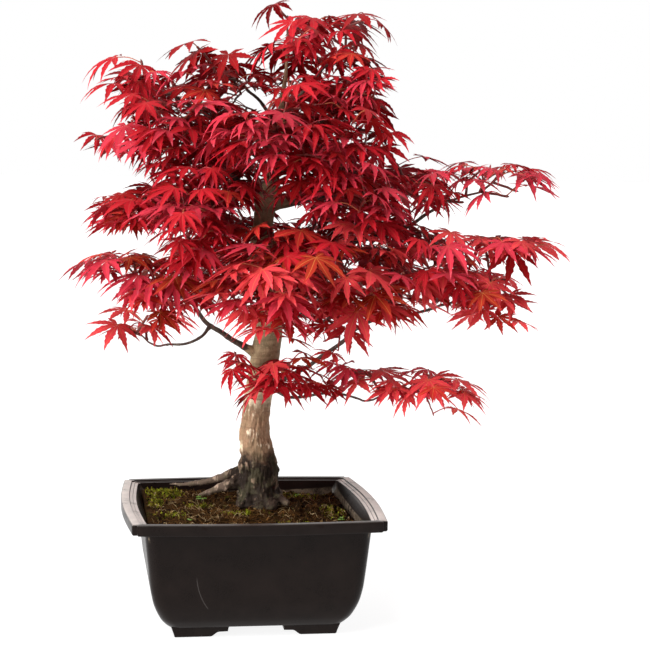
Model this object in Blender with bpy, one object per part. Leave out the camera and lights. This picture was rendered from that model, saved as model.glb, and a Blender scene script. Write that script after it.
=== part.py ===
"""Red-leaved dwarf tree in a square pot: pot, soil, trunk, boughs and foliage masses.

Metres, +Z up, the pot's front face looks along -Y. Every sub-part is one closed solid.
The tree is laid out in its own frame, turned about the pot's centre by TREE_TURN.
"""
import math

import bmesh
import bpy
import numpy as np
from mathutils import Matrix, Vector
from mathutils.bvhtree import BVHTree

# ---------------------------------------------------------------- sizes
GAP = 0.0003  # air left between pieces that rest on each other

RIM_TOP = 0.098
RIM_CORNER = 0.100  # half width of the rim at its corners
RIM_BOW = 0.0054  # how far each side of the rim bows out
RIM_NOTCH = 0.0040  # step cut out of each corner of the rim
RIM_DROP = 0.0089  # height of the rim's outer band
RIM_INNER = 0.0885  # half width of the opening at its corners
RIM_INNER_BOW = 0.0043
LEDGE_DROP = 0.0011  # each small step on the rim's inner side
WALL = 0.0034
FLOOR_Z = 0.0090  # underside of the pot's floor
FLOOR_THICK = 0.0036
BODY_CORNER_R = 0.0095
DRAIN_R = 0.0055
DRAIN_OUT = 0.030
# half width of the body at each height, from the underside up
BODY_PROFILE = (
    (0.0090, 0.0700),
    (0.0118, 0.0728),
    (0.0170, 0.0767),
    (0.0270, 0.0813),
    (0.0365, 0.0838),
    (0.0484, 0.0856),
    (0.0891, 0.0898),
)

FOOT_OUT = 0.0655  # outer face of a foot from the pot's centre line
FOOT_IN = 0.0365  # inner end of its flat sole
FOOT_OGEE = 0.0295
FOOT_SHELF = 0.0225
FOOT_END = 0.0195
FOOT_SHELF_Z = 0.0042
FOOT_DEEP = 0.0150  # how far a bracket runs back under the pot

SOIL_LEVEL = 0.0885
SOIL_SLOPE_X = -0.045
SOIL_SLOPE_Y = 0.020
MOUND_R = 0.0270
MOUND_SKIRT = 0.0450

TREE_TURN = -0.1445  # the tree's own frame against the pot's, radians
TRUNK_Y = 0.0220
TRUNK_SIDES = 10
# trunk: height, sideways, radius
TRUNK = (
    (0.0900, 0.0088, 0.0200),
    (0.0960, 0.0076, 0.0186),
    (0.1040, 0.0066, 0.0171),
    (0.1137, 0.0064, 0.0168),
    (0.1256, 0.0061, 0.0163),
    (0.1325, 0.0059, 0.0149),
    (0.1435, 0.0041, 0.0138),
    (0.1520, 0.0033, 0.0127),
    (0.1648, 0.0040, 0.0122),
    (0.1776, 0.0054, 0.0119),
    (0.1960, 0.0085, 0.0119),
    (0.2141, 0.0114, 0.0121),
    (0.2251, 0.0128, 0.0118),
    (0.2369, 0.0146, 0.0114),
    (0.2600, 0.0150, 0.0112),
    (0.2800, 0.0130, 0.0120),
    (0.2960, 0.0096, 0.0136),
    (0.3080, 0.0085, 0.0108),
    (0.3260, 0.0089, 0.0084),
    (0.3400, 0.0104, 0.0088),
    (0.3540, 0.0132, 0.0070),
    (0.3872, 0.0203, 0.0047),
    (0.4276, 0.0232, 0.0024),
    (0.4500, 0.0262, 0.0017),
    (0.4760, 0.0272, 0.0010),
)
FLARE_LOBES = 5
STUB = ((0.0150, 0.024, 0.284), (0.0215, 0.026, 0.3085), 0.0098, 0.0086)

LEAF_LONG = 0.0400  # joint to the tip of the middle lobe
LEAF_THICK = 0.0014
LOBE_TURN = (0.0, 0.70, 1.50)  # middle, upper side and lower side lobes
LOBE_LONG = (1.0, 0.92, 0.68)
NOTCH_IN = 0.42
NOTCH_BACK = 0.12
LEAF_CURL = 0.22  # how far the lobe tips hang below the joint, of the leaf's length
STEM_R = 0.0020
TWIG_R = 0.00115
STALK_R = 0.00055
STALK_ROOT_R = 0.00038
CLEAR = 0.0005  # room kept from other masses and from the limbs
TWIG_LONGEST = 0.085
TRIES = 40
DROOP = (0.30, 1.05)  # how far a leaf hangs below the level, radians
LEAD_DROOP = (0.10, 0.60)  # the same for the end leaf of an outermost spray
REACH_EASE = 0.003
REACH = 1.65  # how far past its own half sizes a mass may reach
STRAY = 0.45  # how deep a lobe may lean towards a neighbour's half sizes
CROWN_AXIS = (0.030, 0.016)
UP = Vector((0.0, 0.0, 1.0))

# limbs: name, what it leaves, height or point it leaves at, route, radii
BOUGHS = (
    ("bough_left_low", "trunk", 0.213, ((-0.033, 0.002, 0.242), (-0.045, 0.0, 0.256)), 0.0026, 0.0016),
    ("bough_left_bottom", "bough_left_low", (-0.033, 0.002, 0.242),
     ((-0.043, -0.006, 0.232), (-0.052, -0.008, 0.228), (-0.068, -0.009, 0.227)), 0.0013, 0.0009),
    ("bough_left_mid", "trunk", 0.296, ((-0.030, 0.016, 0.316), (-0.048, 0.014, 0.326)), 0.0031, 0.0016),
    ("bough_left_upper", "trunk", 0.340, ((-0.020, 0.018, 0.368), (-0.048, 0.015, 0.386)), 0.0028, 0.0014),
    ("bough_left_top", "trunk", 0.368, ((-0.020, 0.016, 0.404), (-0.058, 0.014, 0.426)), 0.0022, 0.0013),
    ("bough_left_crown", "trunk", 0.404, ((0.006, 0.020, 0.426), (-0.006, 0.018, 0.437)), 0.0016, 0.0011),
    ("bough_right_crown", "trunk", 0.414, ((0.040, 0.018, 0.434), (0.052, 0.017, 0.448)), 0.0015, 0.0011),
    ("bough_upper_right", "trunk", 0.386, ((0.044, 0.026, 0.402), (0.056, 0.024, 0.411)), 0.0019, 0.0012),
    ("bough_right", "trunk", 0.345,
     ((0.037, 0.021, 0.346), (0.062, 0.014, 0.352), (0.096, 0.010, 0.352)), 0.0046, 0.0020),
    ("bough_right_outer", "trunk", 0.306,
     ((0.045, 0.002, 0.312), (0.090, -0.006, 0.315), (0.124, -0.004, 0.325), (0.152, 0.0, 0.342)),
     0.0028, 0.0012),
    ("bough_right_low", "trunk", 0.186,
     ((0.038, 0.018, 0.202), (0.069, 0.012, 0.224), (0.098, 0.008, 0.247), (0.128, 0.006, 0.252),
      (0.158, 0.004, 0.262)), 0.0019, 0.0011),
    ("bough_lower_right", "trunk", 0.198,
     ((0.026, 0.000, 0.187), (0.038, -0.003, 0.184), (0.068, -0.006, 0.189), (0.088, -0.008, 0.185)),
     0.0015, 0.0009),
    ("bough_front_low", "trunk", 0.252, ((0.020, -0.014, 0.259), (0.021, -0.034, 0.264)), 0.0020, 0.0013),
    ("bough_front_left", "trunk", 0.272, ((-0.010, -0.008, 0.283), (-0.022, -0.032, 0.290)),
     0.0020, 0.0013),
    ("bough_front_upper", "trunk", 0.358, ((0.020, -0.004, 0.376), (0.024, -0.024, 0.384)), 0.0018, 0.0012),
    ("bough_middle_right", "trunk", 0.248, ((0.043, 0.008, 0.251), (0.056, -0.008, 0.250)), 0.0023, 0.0014),
    ("bough_middle_upper", "trunk", 0.366, ((0.040, 0.006, 0.374), (0.053, -0.006, 0.378)), 0.0019, 0.0012),
    ("bough_back_low", "trunk", 0.258, ((0.020, 0.050, 0.267), (0.022, 0.068, 0.272)), 0.0023, 0.0014),
    ("bough_back_left", "trunk", 0.312, ((-0.010, 0.046, 0.320), (-0.024, 0.062, 0.323)), 0.0024, 0.0014),
    ("bough_back_right", "trunk", 0.352, ((0.036, 0.046, 0.357), (0.062, 0.062, 0.352)), 0.0024, 0.0014),
    ("bough_back_top", "trunk", 0.392, ((0.022, 0.042, 0.404), (0.024, 0.052, 0.413)), 0.0017, 0.0012),
)

# masses: name, limb it grows from, centre, half sizes, leaves, spots of its outermost sprays
MASSES = (
    ("foliage_crown_top", "trunk", (0.032, 0.018, 0.466), (0.042, 0.046, 0.046), 13,
     ((0.022, 0.018, 0.500), (0.046, 0.012, 0.494), (0.030, -0.012, 0.472))),
    ("foliage_crown_right", "bough_right_crown", (0.084, 0.014, 0.470), (0.036, 0.046, 0.036), 11,
     ((0.076, 0.012, 0.494), (0.094, 0.014, 0.462))),
    ("foliage_upper_right", "bough_upper_right", (0.092, 0.022, 0.428), (0.040, 0.050, 0.026), 13,
     ((0.098, 0.018, 0.428), (0.084, -0.012, 0.434))),
    ("foliage_crown_left", "bough_left_crown", (-0.038, 0.014, 0.447), (0.042, 0.050, 0.036), 12,
     ((-0.046, 0.012, 0.470), (-0.016, 0.010, 0.472))),
    ("foliage_top_left", "bough_left_top", (-0.098, 0.016, 0.442), (0.048, 0.048, 0.032), 14,
     ((-0.092, 0.012, 0.458), (-0.106, 0.010, 0.440), (-0.076, -0.016, 0.446))),
    ("foliage_upper_left", "bough_left_upper", (-0.078, 0.008, 0.392), (0.066, 0.058, 0.026), 15,
     ((-0.106, 0.018, 0.396), (-0.100, -0.010, 0.408), (-0.050, -0.034, 0.400))),
    ("foliage_mid_left", "bough_left_mid", (-0.080, 0.008, 0.344), (0.058, 0.058, 0.028), 15,
     ((-0.112, 0.008, 0.348), (-0.082, -0.020, 0.356), (-0.074, -0.036, 0.332))),
    ("foliage_low_left", "bough_left_low", (-0.080, 0.004, 0.276), (0.064, 0.060, 0.030), 16,
     ((-0.104, 0.002, 0.292), (-0.076, -0.036, 0.280), (-0.098, -0.014, 0.272))),
    ("foliage_bottom_left", "bough_left_bottom", (-0.098, -0.006, 0.238), (0.052, 0.030, 0.022), 8,
     ((-0.104, -0.004, 0.241), (-0.096, -0.016, 0.238), (-0.086, -0.002, 0.238))),
    ("foliage_front_low", "bough_front_low", (0.018, -0.070, 0.274), (0.052, 0.046, 0.032), 14,
     ((0.030, -0.084, 0.290), (0.000, -0.080, 0.272))),
    ("foliage_front_left", "bough_front_left", (-0.044, -0.062, 0.318), (0.034, 0.040, 0.034), 11,
     ((-0.046, -0.078, 0.318),)),
    ("foliage_front_upper", "bough_front_upper", (0.022, -0.052, 0.396), (0.046, 0.040, 0.034), 13,
     ((0.020, -0.064, 0.410), (0.044, -0.060, 0.392))),
    ("foliage_middle_right", "bough_middle_right", (0.086, -0.040, 0.274), (0.038, 0.048, 0.040), 12,
     ((0.080, -0.062, 0.292), (0.096, -0.050, 0.262))),
    ("foliage_right_front", "bough_middle_upper", (0.082, -0.026, 0.368), (0.042, 0.046, 0.040), 15,
     ((0.078, -0.050, 0.386), (0.112, -0.008, 0.392), (0.090, -0.048, 0.344))),
    ("foliage_right_inner", "bough_right", (0.134, 0.012, 0.358), (0.034, 0.048, 0.030), 10,
     ((0.128, 0.000, 0.368), (0.148, 0.006, 0.344))),
    ("foliage_right_outer", "bough_right_outer", (0.202, 0.006, 0.360), (0.052, 0.036, 0.026), 12,
     ((0.176, 0.004, 0.366), (0.206, 0.004, 0.371), (0.208, -0.010, 0.352), (0.190, 0.016, 0.366))),
    ("foliage_low_right", "bough_right_low", (0.138, -0.004, 0.286), (0.042, 0.052, 0.030), 13,
     ((0.150, -0.020, 0.290), (0.120, -0.030, 0.276), (0.164, -0.008, 0.312))),
    ("foliage_low_right_outer", "bough_right_low", (0.212, -0.002, 0.290), (0.050, 0.042, 0.034), 14,
     ((0.218, -0.002, 0.312), (0.190, 0.000, 0.316), (0.208, -0.010, 0.284), (0.180, -0.020, 0.280))),
    ("foliage_lower_right", "bough_lower_right", (0.130, -0.010, 0.196), (0.062, 0.034, 0.024), 12,
     ((0.128, -0.020, 0.198), (0.158, -0.010, 0.202), (0.146, -0.022, 0.192), (0.098, -0.014, 0.206))),
    ("foliage_low_middle", "bough_lower_right", (0.008, -0.030, 0.196), (0.040, 0.026, 0.024), 8,
     ((0.000, -0.030, 0.204), (0.022, -0.032, 0.200))),
    ("foliage_back_low", "bough_back_low", (0.024, 0.104, 0.284), (0.060, 0.046, 0.036), 13,
     ((0.024, 0.118, 0.296),)),
    ("foliage_back_left", "bough_back_left", (-0.056, 0.096, 0.332), (0.052, 0.044, 0.040), 12,
     ((-0.066, 0.106, 0.344),)),
    ("foliage_back_right", "bough_back_right", (0.098, 0.092, 0.342), (0.052, 0.044, 0.044), 12,
     ((0.108, 0.100, 0.352),)),
    ("foliage_back_top", "bough_back_top", (0.022, 0.084, 0.412), (0.060, 0.044, 0.036), 12,
     ((0.020, 0.096, 0.424),)),
)

# how far the crown reaches to the left and the right at each height
CROWN_REACH = (
    (0.160, -0.010, 0.192),
    (0.186, -0.028, 0.206),
    (0.200, -0.034, 0.198),
    (0.211, -0.034, 0.130),
    (0.222, -0.128, 0.130),
    (0.238, -0.146, 0.234),
    (0.262, -0.143, 0.228),
    (0.288, -0.146, 0.262),
    (0.304, -0.120, 0.268),
    (0.320, -0.132, 0.262),
    (0.338, -0.138, 0.232),
    (0.352, -0.128, 0.262),
    (0.366, -0.105, 0.262),
    (0.376, -0.135, 0.245),
    (0.382, -0.148, 0.150),
    (0.400, -0.146, 0.132),
    (0.412, -0.124, 0.132),
    (0.436, -0.148, 0.116),
    (0.462, -0.136, 0.112),
    (0.476, -0.110, 0.114),
    (0.486, -0.030, 0.113),
    (0.498, -0.002, 0.106),
    (0.512, 0.008, 0.040),
)

# ways kept clear through the crown from front to back: sideways, height, half sizes
WINDOWS = (
    (0.003, 0.328, 0.014, 0.017),
    (0.032, 0.330, 0.014, 0.009),
    (0.002, 0.425, 0.012, 0.010),
    (0.135, 0.303, 0.012, 0.006),
    (-0.112, 0.312, 0.026, 0.008),
    (0.150, 0.226, 0.060, 0.006),
    (-0.020, 0.212, 0.020, 0.018),
)


# ---------------------------------------------------------------- materials
def make_material(name, colour, roughness):
    material = bpy.data.materials.new(name)
    material.use_nodes = True
    shader = material.node_tree.nodes["Principled BSDF"]
    shader.inputs["Base Color"].default_value = (*colour, 1.0)
    shader.inputs["Roughness"].default_value = roughness
    shader.inputs["Metallic"].default_value = 0.0
    return material


# ---------------------------------------------------------------- solids
def make_object(name, verts, faces, material):
    mesh = bpy.data.meshes.new(name)
    mesh.from_pydata([tuple(v) for v in verts], [], faces)
    mesh.update()
    body = bmesh.new()
    body.from_mesh(mesh)
    bmesh.ops.recalc_face_normals(body, faces=body.faces)
    body.to_mesh(mesh)
    body.free()
    mesh.materials.append(material)
    thing = bpy.data.objects.new(name, mesh)
    bpy.context.scene.collection.objects.link(thing)
    return thing


def loft(rings, closed_ends=True):
    """Skin equal rings one after another and cap both ends."""
    count = len(rings[0])
    verts = [p for ring in rings for p in ring]
    faces = []
    for level in range(len(rings) - 1):
        low = level * count
        for i in range(count):
            j = (i + 1) % count
            faces.append((low + i, low + j, low + count + j, low + count + i))
    if closed_ends:
        faces.append(tuple(reversed(range(count))))
        last = (len(rings) - 1) * count
        faces.append(tuple(range(last, last + count)))
    return verts, faces


def limb_solid(points, radii, sides, twist=0.0):
    """A tapering limb through points, cut square at both ends."""
    points = [Vector(p) for p in points]
    rings = []
    side = None
    for i, point in enumerate(points):
        ahead = points[min(i + 1, len(points) - 1)] - points[max(i - 1, 0)]
        ahead.normalize()
        if side is None:
            side = ahead.orthogonal().normalized()
        side = (side - ahead * side.dot(ahead)).normalized()
        other = ahead.cross(side)
        ring = []
        for k in range(sides):
            turn = twist + 2 * math.pi * k / sides
            ring.append(point + (side * math.cos(turn) + other * math.sin(turn)) * radii[i])
        rings.append(ring)
    return loft(rings)


def leaf_solid(joint, along, face, size, thick, curl, root, stalk_r, root_r):
    """Five pointed lobes round a joint, with a three-sided stalk running back to its root."""
    side = face.cross(along).normalized()

    def rim_point(turn, reach):
        out = along * math.cos(turn) + side * math.sin(turn)
        return joint + out * reach * size - face * curl * size * reach * reach

    ring = []
    for i in (2, 1):
        ring.append(rim_point(-LOBE_TURN[i], LOBE_LONG[i]))
        ring.append(rim_point(-(LOBE_TURN[i] + LOBE_TURN[i - 1]) / 2, NOTCH_IN))
    ring.append(rim_point(0.0, 1.0))
    for i in (1, 2):
        ring.append(rim_point((LOBE_TURN[i] + LOBE_TURN[i - 1]) / 2, NOTCH_IN))
        ring.append(rim_point(LOBE_TURN[i], LOBE_LONG[i]))
    base = rim_point(math.pi, NOTCH_BACK)
    ring.append(base + side * stalk_r)
    ring.append(base - side * stalk_r)
    count = len(ring)
    run = (base - root).normalized()
    across = (side - run * side.dot(run)).normalized()
    above = across.cross(run)
    if above.dot(face) < 0:
        above = -above
    verts = ring + [
        base - face * stalk_r * 1.3,
        joint + face * thick / 2,
        joint - face * thick / 2,
        root + across * root_r + above * root_r * 0.5,
        root - across * root_r + above * root_r * 0.5,
        root - above * root_r,
    ]
    right, left, keel, top, under, far_right, far_left, far_keel = range(count - 2, count + 6)
    faces = []
    for i in range(count):
        faces.append((i, (i + 1) % count, top))
        if i != right:
            faces.append(((i + 1) % count, i, under))
    faces.append((keel, right, under))
    faces.append((left, keel, under))
    faces.append((left, right, far_right, far_left))
    faces.append((keel, left, far_left, far_keel))
    faces.append((right, keel, far_keel, far_right))
    faces.append((far_right, far_keel, far_left))
    return verts, faces


def shells(mesh):
    """Vertex groups of a mesh that hang together."""
    parent = list(range(len(mesh.vertices)))

    def find(i):
        while parent[i] != i:
            parent[i] = parent[parent[i]]
            i = parent[i]
        return i

    for edge in mesh.edges:
        a, b = find(edge.vertices[0]), find(edge.vertices[1])
        if a != b:
            parent[a] = b
    groups = {}
    for i in range(len(parent)):
        groups.setdefault(find(i), []).append(i)
    return sorted(groups.values(), key=len, reverse=True)


def fuse(name, solids, material, solver="EXACT"):
    """Join solids that overlap into one closed body, keeping only its outer skin."""
    base = make_object(name, *solids[0], material)
    if len(solids) > 1:
        group = bpy.data.collections.new(name + "_pieces")
        bpy.context.scene.collection.children.link(group)
        pieces = []
        for solid in solids[1:]:
            piece = make_object(name + "_piece", *solid, material)
            bpy.context.scene.collection.objects.unlink(piece)
            group.objects.link(piece)
            pieces.append(piece)
        joiner = base.modifiers.new("join", "BOOLEAN")
        joiner.operation = "UNION"
        joiner.operand_type = "COLLECTION"
        joiner.collection = group
        joiner.solver = solver
        bpy.context.view_layer.objects.active = base
        bpy.ops.object.modifier_apply(modifier="join")
        for piece in pieces:
            bpy.data.objects.remove(piece)
        bpy.data.collections.remove(group)
    keep_outer_skin(base)
    return base


def keep_outer_skin(thing):
    """Drop loose scraps and sealed hollows, close up slivers and cut into triangles."""
    body = bmesh.new()
    body.from_mesh(thing.data)
    bmesh.ops.remove_doubles(body, verts=body.verts, dist=0.0000015)
    bmesh.ops.dissolve_degenerate(body, edges=body.edges, dist=0.000001)
    idle = [v for v in body.verts if len(v.link_edges) == 2]
    bmesh.ops.dissolve_verts(body, verts=idle)
    body.to_mesh(thing.data)
    spare = [i for group in shells(thing.data)[1:] for i in group]
    body.verts.ensure_lookup_table()
    bmesh.ops.delete(body, geom=[body.verts[i] for i in spare], context="VERTS")
    bmesh.ops.triangulate(body, faces=body.faces)
    body.to_mesh(thing.data)
    body.free()


# ---------------------------------------------------------------- frame of the tree
def tree_point(x, y, z):
    """From the tree's own frame to the pot's."""
    return Matrix.Rotation(TREE_TURN, 3, "Z") @ Vector((x, y, z))


# ---------------------------------------------------------------- pot
def bowed_ring(half, bow, notch, z, side_steps=4):
    """A square ring with bowed sides and a small step cut out of each corner."""
    ring = []
    for quarter in range(4):
        turn = Matrix.Rotation(quarter * math.pi / 2, 3, "Z")
        for i in range(side_steps + 1):
            t = i / side_steps
            x = (half - notch) * (2 * t - 1)
            y = -half - bow * math.sin(math.pi * t)
            ring.append(turn @ Vector((x, y, z)))
        ring.append(turn @ Vector((half - notch * 0.95, -half + notch * 0.95, z)))
    return ring


def round_ring(half, radius, z, side_steps=4):
    """A square ring with round corners and as many points as a bowed one."""
    ring = []
    for quarter in range(4):
        turn = Matrix.Rotation(quarter * math.pi / 2, 3, "Z")
        for i in range(side_steps + 1):
            t = i / side_steps
            ring.append(turn @ Vector(((half - radius) * (2 * t - 1), -half, z)))
        corner = half - radius * (1 - math.sqrt(0.5))
        ring.append(turn @ Vector((corner, -corner, z)))
    return ring


def cavity_half(z):
    """Half width of the pot's inside at a height."""
    floor_top = FLOOR_Z + FLOOR_THICK
    outer = [(floor_top, BODY_PROFILE[1][1] + 0.0008)]
    outer += [p for p in BODY_PROFILE[3:] if p[0] != BODY_PROFILE[4][0]]
    return float(np.interp(z, [p[0] for p in outer], [p[1] for p in outer])) - WALL


def build_pot(material):
    rings = [round_ring(half, BODY_CORNER_R, z) for z, half in BODY_PROFILE]
    under = RIM_TOP - RIM_DROP
    rings.append(bowed_ring(RIM_CORNER - 0.0008, RIM_BOW, RIM_NOTCH, under + 0.0002))
    rings.append(bowed_ring(RIM_CORNER, RIM_BOW, RIM_NOTCH, RIM_TOP - 0.0006))
    rings.append(bowed_ring(RIM_CORNER - 0.0006, RIM_BOW, RIM_NOTCH, RIM_TOP))
    band = RIM_INNER + 0.0052
    rings.append(bowed_ring(band, RIM_INNER_BOW + 0.0006, RIM_NOTCH * 0.6, RIM_TOP))
    rings.append(bowed_ring(band - 0.0006, RIM_INNER_BOW + 0.0006, RIM_NOTCH * 0.6, RIM_TOP - LEDGE_DROP))
    rings.append(bowed_ring(RIM_INNER, RIM_INNER_BOW, RIM_NOTCH * 0.5, RIM_TOP - LEDGE_DROP))
    rings.append(bowed_ring(RIM_INNER - 0.0004, RIM_INNER_BOW, RIM_NOTCH * 0.5, RIM_TOP - 2.4 * LEDGE_DROP))
    inner = [p for p in BODY_PROFILE[3:] if p[0] != BODY_PROFILE[4][0]]
    for z, half in reversed(inner):
        rings.append(round_ring(half - WALL, BODY_CORNER_R - WALL, min(z, 0.0880)))
    floor_top = FLOOR_Z + FLOOR_THICK
    rings.append(round_ring(cavity_half(floor_top), BODY_CORNER_R - WALL, floor_top))
    solids = [loft(rings)]
    for quarter in range(4):
        for flip in (1, -1):
            solids.append(foot_bracket(quarter, flip))
    pot = fuse("pot", solids, material)
    cut_drains(pot, material)
    return pot


def foot_bracket(quarter, flip):
    """One arm of a corner foot: flat sole, an ogee up to a shelf, then up to the floor."""
    top = FLOOR_Z + 0.0012
    outline = [
        (FOOT_OUT - 0.0014, 0.0),
        (FOOT_OUT, 0.0022),
        (FOOT_OUT + 0.0028, top),
        (FOOT_END, top),
        (FOOT_SHELF, FOOT_SHELF_Z),
        (FOOT_OGEE, FOOT_SHELF_Z - 0.0002),
        (FOOT_OGEE + 0.0025, 0.0030),
        (FOOT_IN, 0.0),
    ]
    rings = []
    for back in (0.0, FOOT_DEEP):
        ring = []
        for x, z in outline:
            grow = 0.0028 * z / top if back == 0.0 else 0.0
            front = -(FOOT_OUT - 0.0006 + grow) + back
            ring.append(Vector((x * flip, front, z)))
        rings.append(ring)
    turn = Matrix.Rotation(quarter * math.pi / 2, 3, "Z")
    return loft([[turn @ p for p in ring] for ring in rings])


def cut_drains(pot, material):
    """Round drain holes through the floor."""
    for sx in (1, -1):
        for sy in (1, -1):
            centre = Vector((sx * DRAIN_OUT, sy * DRAIN_OUT, 0))
            ends = [centre + Vector((0, 0, FLOOR_Z - 0.003)), centre + Vector((0, 0, FLOOR_Z + 0.008))]
            cutter = make_object("cutter", *limb_solid(ends, (DRAIN_R, DRAIN_R), 10), material)
            cutter.hide_render = True
            cutter.display_type = "WIRE"
            drill = pot.modifiers.new("drill", "BOOLEAN")
            drill.operation = "DIFFERENCE"
            drill.solver = "EXACT"
            drill.object = cutter
            bpy.context.view_layer.objects.active = pot
            bpy.ops.object.modifier_apply(modifier="drill")
            bpy.data.objects.remove(cutter)


# ---------------------------------------------------------------- soil
def soil_height(point):
    """Height of the soil's surface under a point of the pot's frame."""
    foot = tree_point(TRUNK[0][1], TRUNK_Y, 0)
    away = (Vector((point[0], point[1], 0)) - foot).length
    plane = SOIL_LEVEL + SOIL_SLOPE_X * point[0] + SOIL_SLOPE_Y * point[1]
    crest = TRUNK[0][0] - GAP
    if away <= MOUND_R:
        return crest
    t = min((away - MOUND_R) / MOUND_SKIRT, 1.0)
    ease = t * t * (3 - 2 * t)
    return crest * (1 - ease) + plane * ease


def build_soil(material):
    foot = tree_point(TRUNK[0][1], TRUNK_Y, 0)
    low = FLOOR_Z + FLOOR_THICK + GAP
    radius = BODY_CORNER_R - WALL
    heights = [low] + [p[0] for p in BODY_PROFILE[3:-1] if p[0] != BODY_PROFILE[4][0]]
    rings = []
    for z in heights:
        rings.append(round_ring(cavity_half(z) - GAP * 1.2, radius, z))
    edge = round_ring(cavity_half(0.0825) - GAP * 1.3, radius, 0)
    rings.append([Vector((p.x, p.y, soil_height(p))) for p in edge])
    for share in (0.82, 0.62, 0.0):
        ring = []
        for p in edge:
            out = p - foot
            out.z = 0
            away = out.length
            reach = MOUND_R + share * (away - MOUND_R)
            spot = foot + out.normalized() * reach
            ring.append(Vector((spot.x, spot.y, soil_height(spot))))
        rings.append(ring)
    return fuse("soil", [loft(rings)], material)


# ---------------------------------------------------------------- trunk
def trunk_axis(z):
    """Centre and radius of the trunk at a height, in the tree's frame."""
    heights = [p[0] for p in TRUNK]
    x = float(np.interp(z, heights, [p[1] for p in TRUNK]))
    r = float(np.interp(z, heights, [p[2] for p in TRUNK]))
    return Vector((x, TRUNK_Y, z)), r


def build_trunk(material):
    rng = np.random.default_rng(11)
    rings = []
    count = len(TRUNK)
    for level, (z, x, r) in enumerate(TRUNK):
        ring = []
        foot = max(0.0, 1 - (z - TRUNK[0][0]) / 0.030)
        rough = 0.05 if z < 0.14 or 0.27 < z < 0.32 else 0.02
        if level > count - 5:
            rough = 0.0
        for k in range(TRUNK_SIDES):
            turn = 2 * math.pi * k / TRUNK_SIDES + 0.3
            lobe = 1 + 0.12 * foot * math.sin(FLARE_LOBES * turn + 0.8)
            reach = r * lobe * (1 + rng.uniform(-rough, rough))
            ring.append(tree_point(x + reach * math.cos(turn), TRUNK_Y + reach * math.sin(turn), z))
        rings.append(ring)
    solids = [loft(rings)]
    low, high, wide, narrow = STUB
    solids.append(limb_solid([tree_point(*low), tree_point(*high)], (wide, narrow), 9, 0.2))
    for route, radii in surface_roots():
        solids.append(limb_solid(route, radii, 6, 0.4))
    return fuse("trunk", solids, material)


def surface_roots():
    """Roots that arch out of the trunk's flare and run over the soil, never into it."""
    plans = (
        (((0.000, 0.024, 0.1190), (-0.012, 0.026, 0.1165), (-0.026, 0.034, 0.1100), (-0.044, 0.050, 0.1035),
          (-0.062, 0.068, 0.0990)), (0.0050, 0.0042, 0.0030, 0.0021, 0.0011)),
        (((0.000, 0.018, 0.1120), (-0.012, 0.018, 0.1080), (-0.024, 0.021, 0.1030), (-0.036, 0.028, 0.0985),
          (-0.046, 0.036, 0.0955)), (0.0060, 0.0052, 0.0040, 0.0029, 0.0018)),
        (((0.014, 0.020, 0.0990), (0.026, 0.010, 0.0960), (0.033, 0.004, 0.0935)),
         (0.0060, 0.0040, 0.0022)),
        (((0.014, 0.026, 0.0990), (0.022, 0.042, 0.0960), (0.026, 0.052, 0.0935)),
         (0.0060, 0.0040, 0.0022)),
        (((0.004, 0.026, 0.0990), (-0.006, 0.044, 0.0960), (-0.012, 0.052, 0.0935)),
         (0.0060, 0.0040, 0.0022)),
    )
    for points, radii in plans:
        route = []
        for (x, y, z), r in zip(points, radii):
            spot = tree_point(x, y, z)
            spot.z = max(z, soil_height(spot) + r + 0.0005)
            route.append(spot)
        yield route, radii


# ---------------------------------------------------------------- clearances
def tree_of(verts, faces):
    return BVHTree.FromPolygons([Vector(v) for v in verts], faces, all_triangles=False)


def solid_of(thing):
    verts = [v.co.copy() for v in thing.data.vertices]
    faces = [tuple(p.vertices) for p in thing.data.polygons]
    return verts, faces


def seat(skin, start, heading, radius):
    """Slide a limb's end out along its heading until it stands a hair clear of a skin."""
    heading = heading.normalized()
    side = heading.orthogonal().normalized()
    other = heading.cross(side)
    spots = [Vector((0, 0, 0))]
    for k in range(12):
        turn = 2 * math.pi * k / 12
        out = side * math.cos(turn) + other * math.sin(turn)
        spots.append(out * radius)
        spots.append(out * radius * 0.5)
    reach = 0.0
    for step in range(600):
        reach = step * 0.0001
        clear = True
        for spot in spots:
            here = start + heading * reach + spot
            near, normal, index, far = skin.find_nearest(here)
            if far < GAP or (here - near).dot(normal) < 0:
                clear = False
                break
        if clear:
            return start + heading * reach
    return start + heading * reach


# ---------------------------------------------------------------- boughs
def build_boughs(trunk, material):
    skins = {"trunk": tree_of(*solid_of(trunk))}
    ends = {"trunk": (tree_point(TRUNK[-1][1], TRUNK_Y, TRUNK[-1][0]), Vector((0.0, 0.0, 1.0)))}
    routes = {}
    things = []
    for name, parent, leave, points, thick, thin in BOUGHS:
        route = [tree_point(*p) for p in points]
        if parent == "trunk":
            centre, r = trunk_axis(leave)
            start = tree_point(*centre)
        else:
            start = tree_point(*leave)
        route = [seat(skins[parent], start, route[0] - start, thick * 1.02)] + route
        lengths = np.cumsum([0] + [(b - a).length for a, b in zip(route, route[1:])])
        radii = [thick + (thin - thick) * d / lengths[-1] for d in lengths]
        sides = 7 if thick > 0.0024 else 5
        verts, faces = limb_solid(route, radii, sides)
        thing = fuse(name, [(verts, faces)], material)
        things.append(thing)
        skins[name] = tree_of(*solid_of(thing))
        ends[name] = (route[-1], (route[-1] - route[-2]).normalized())
        routes[name] = route
    return things, skins, ends, routes


# ---------------------------------------------------------------- foliage
SIDE_STARTS = {
    "foliage_low_right": (3, 4, 0.45),
    "foliage_low_middle": (1, 2, 0.15),
}


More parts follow.
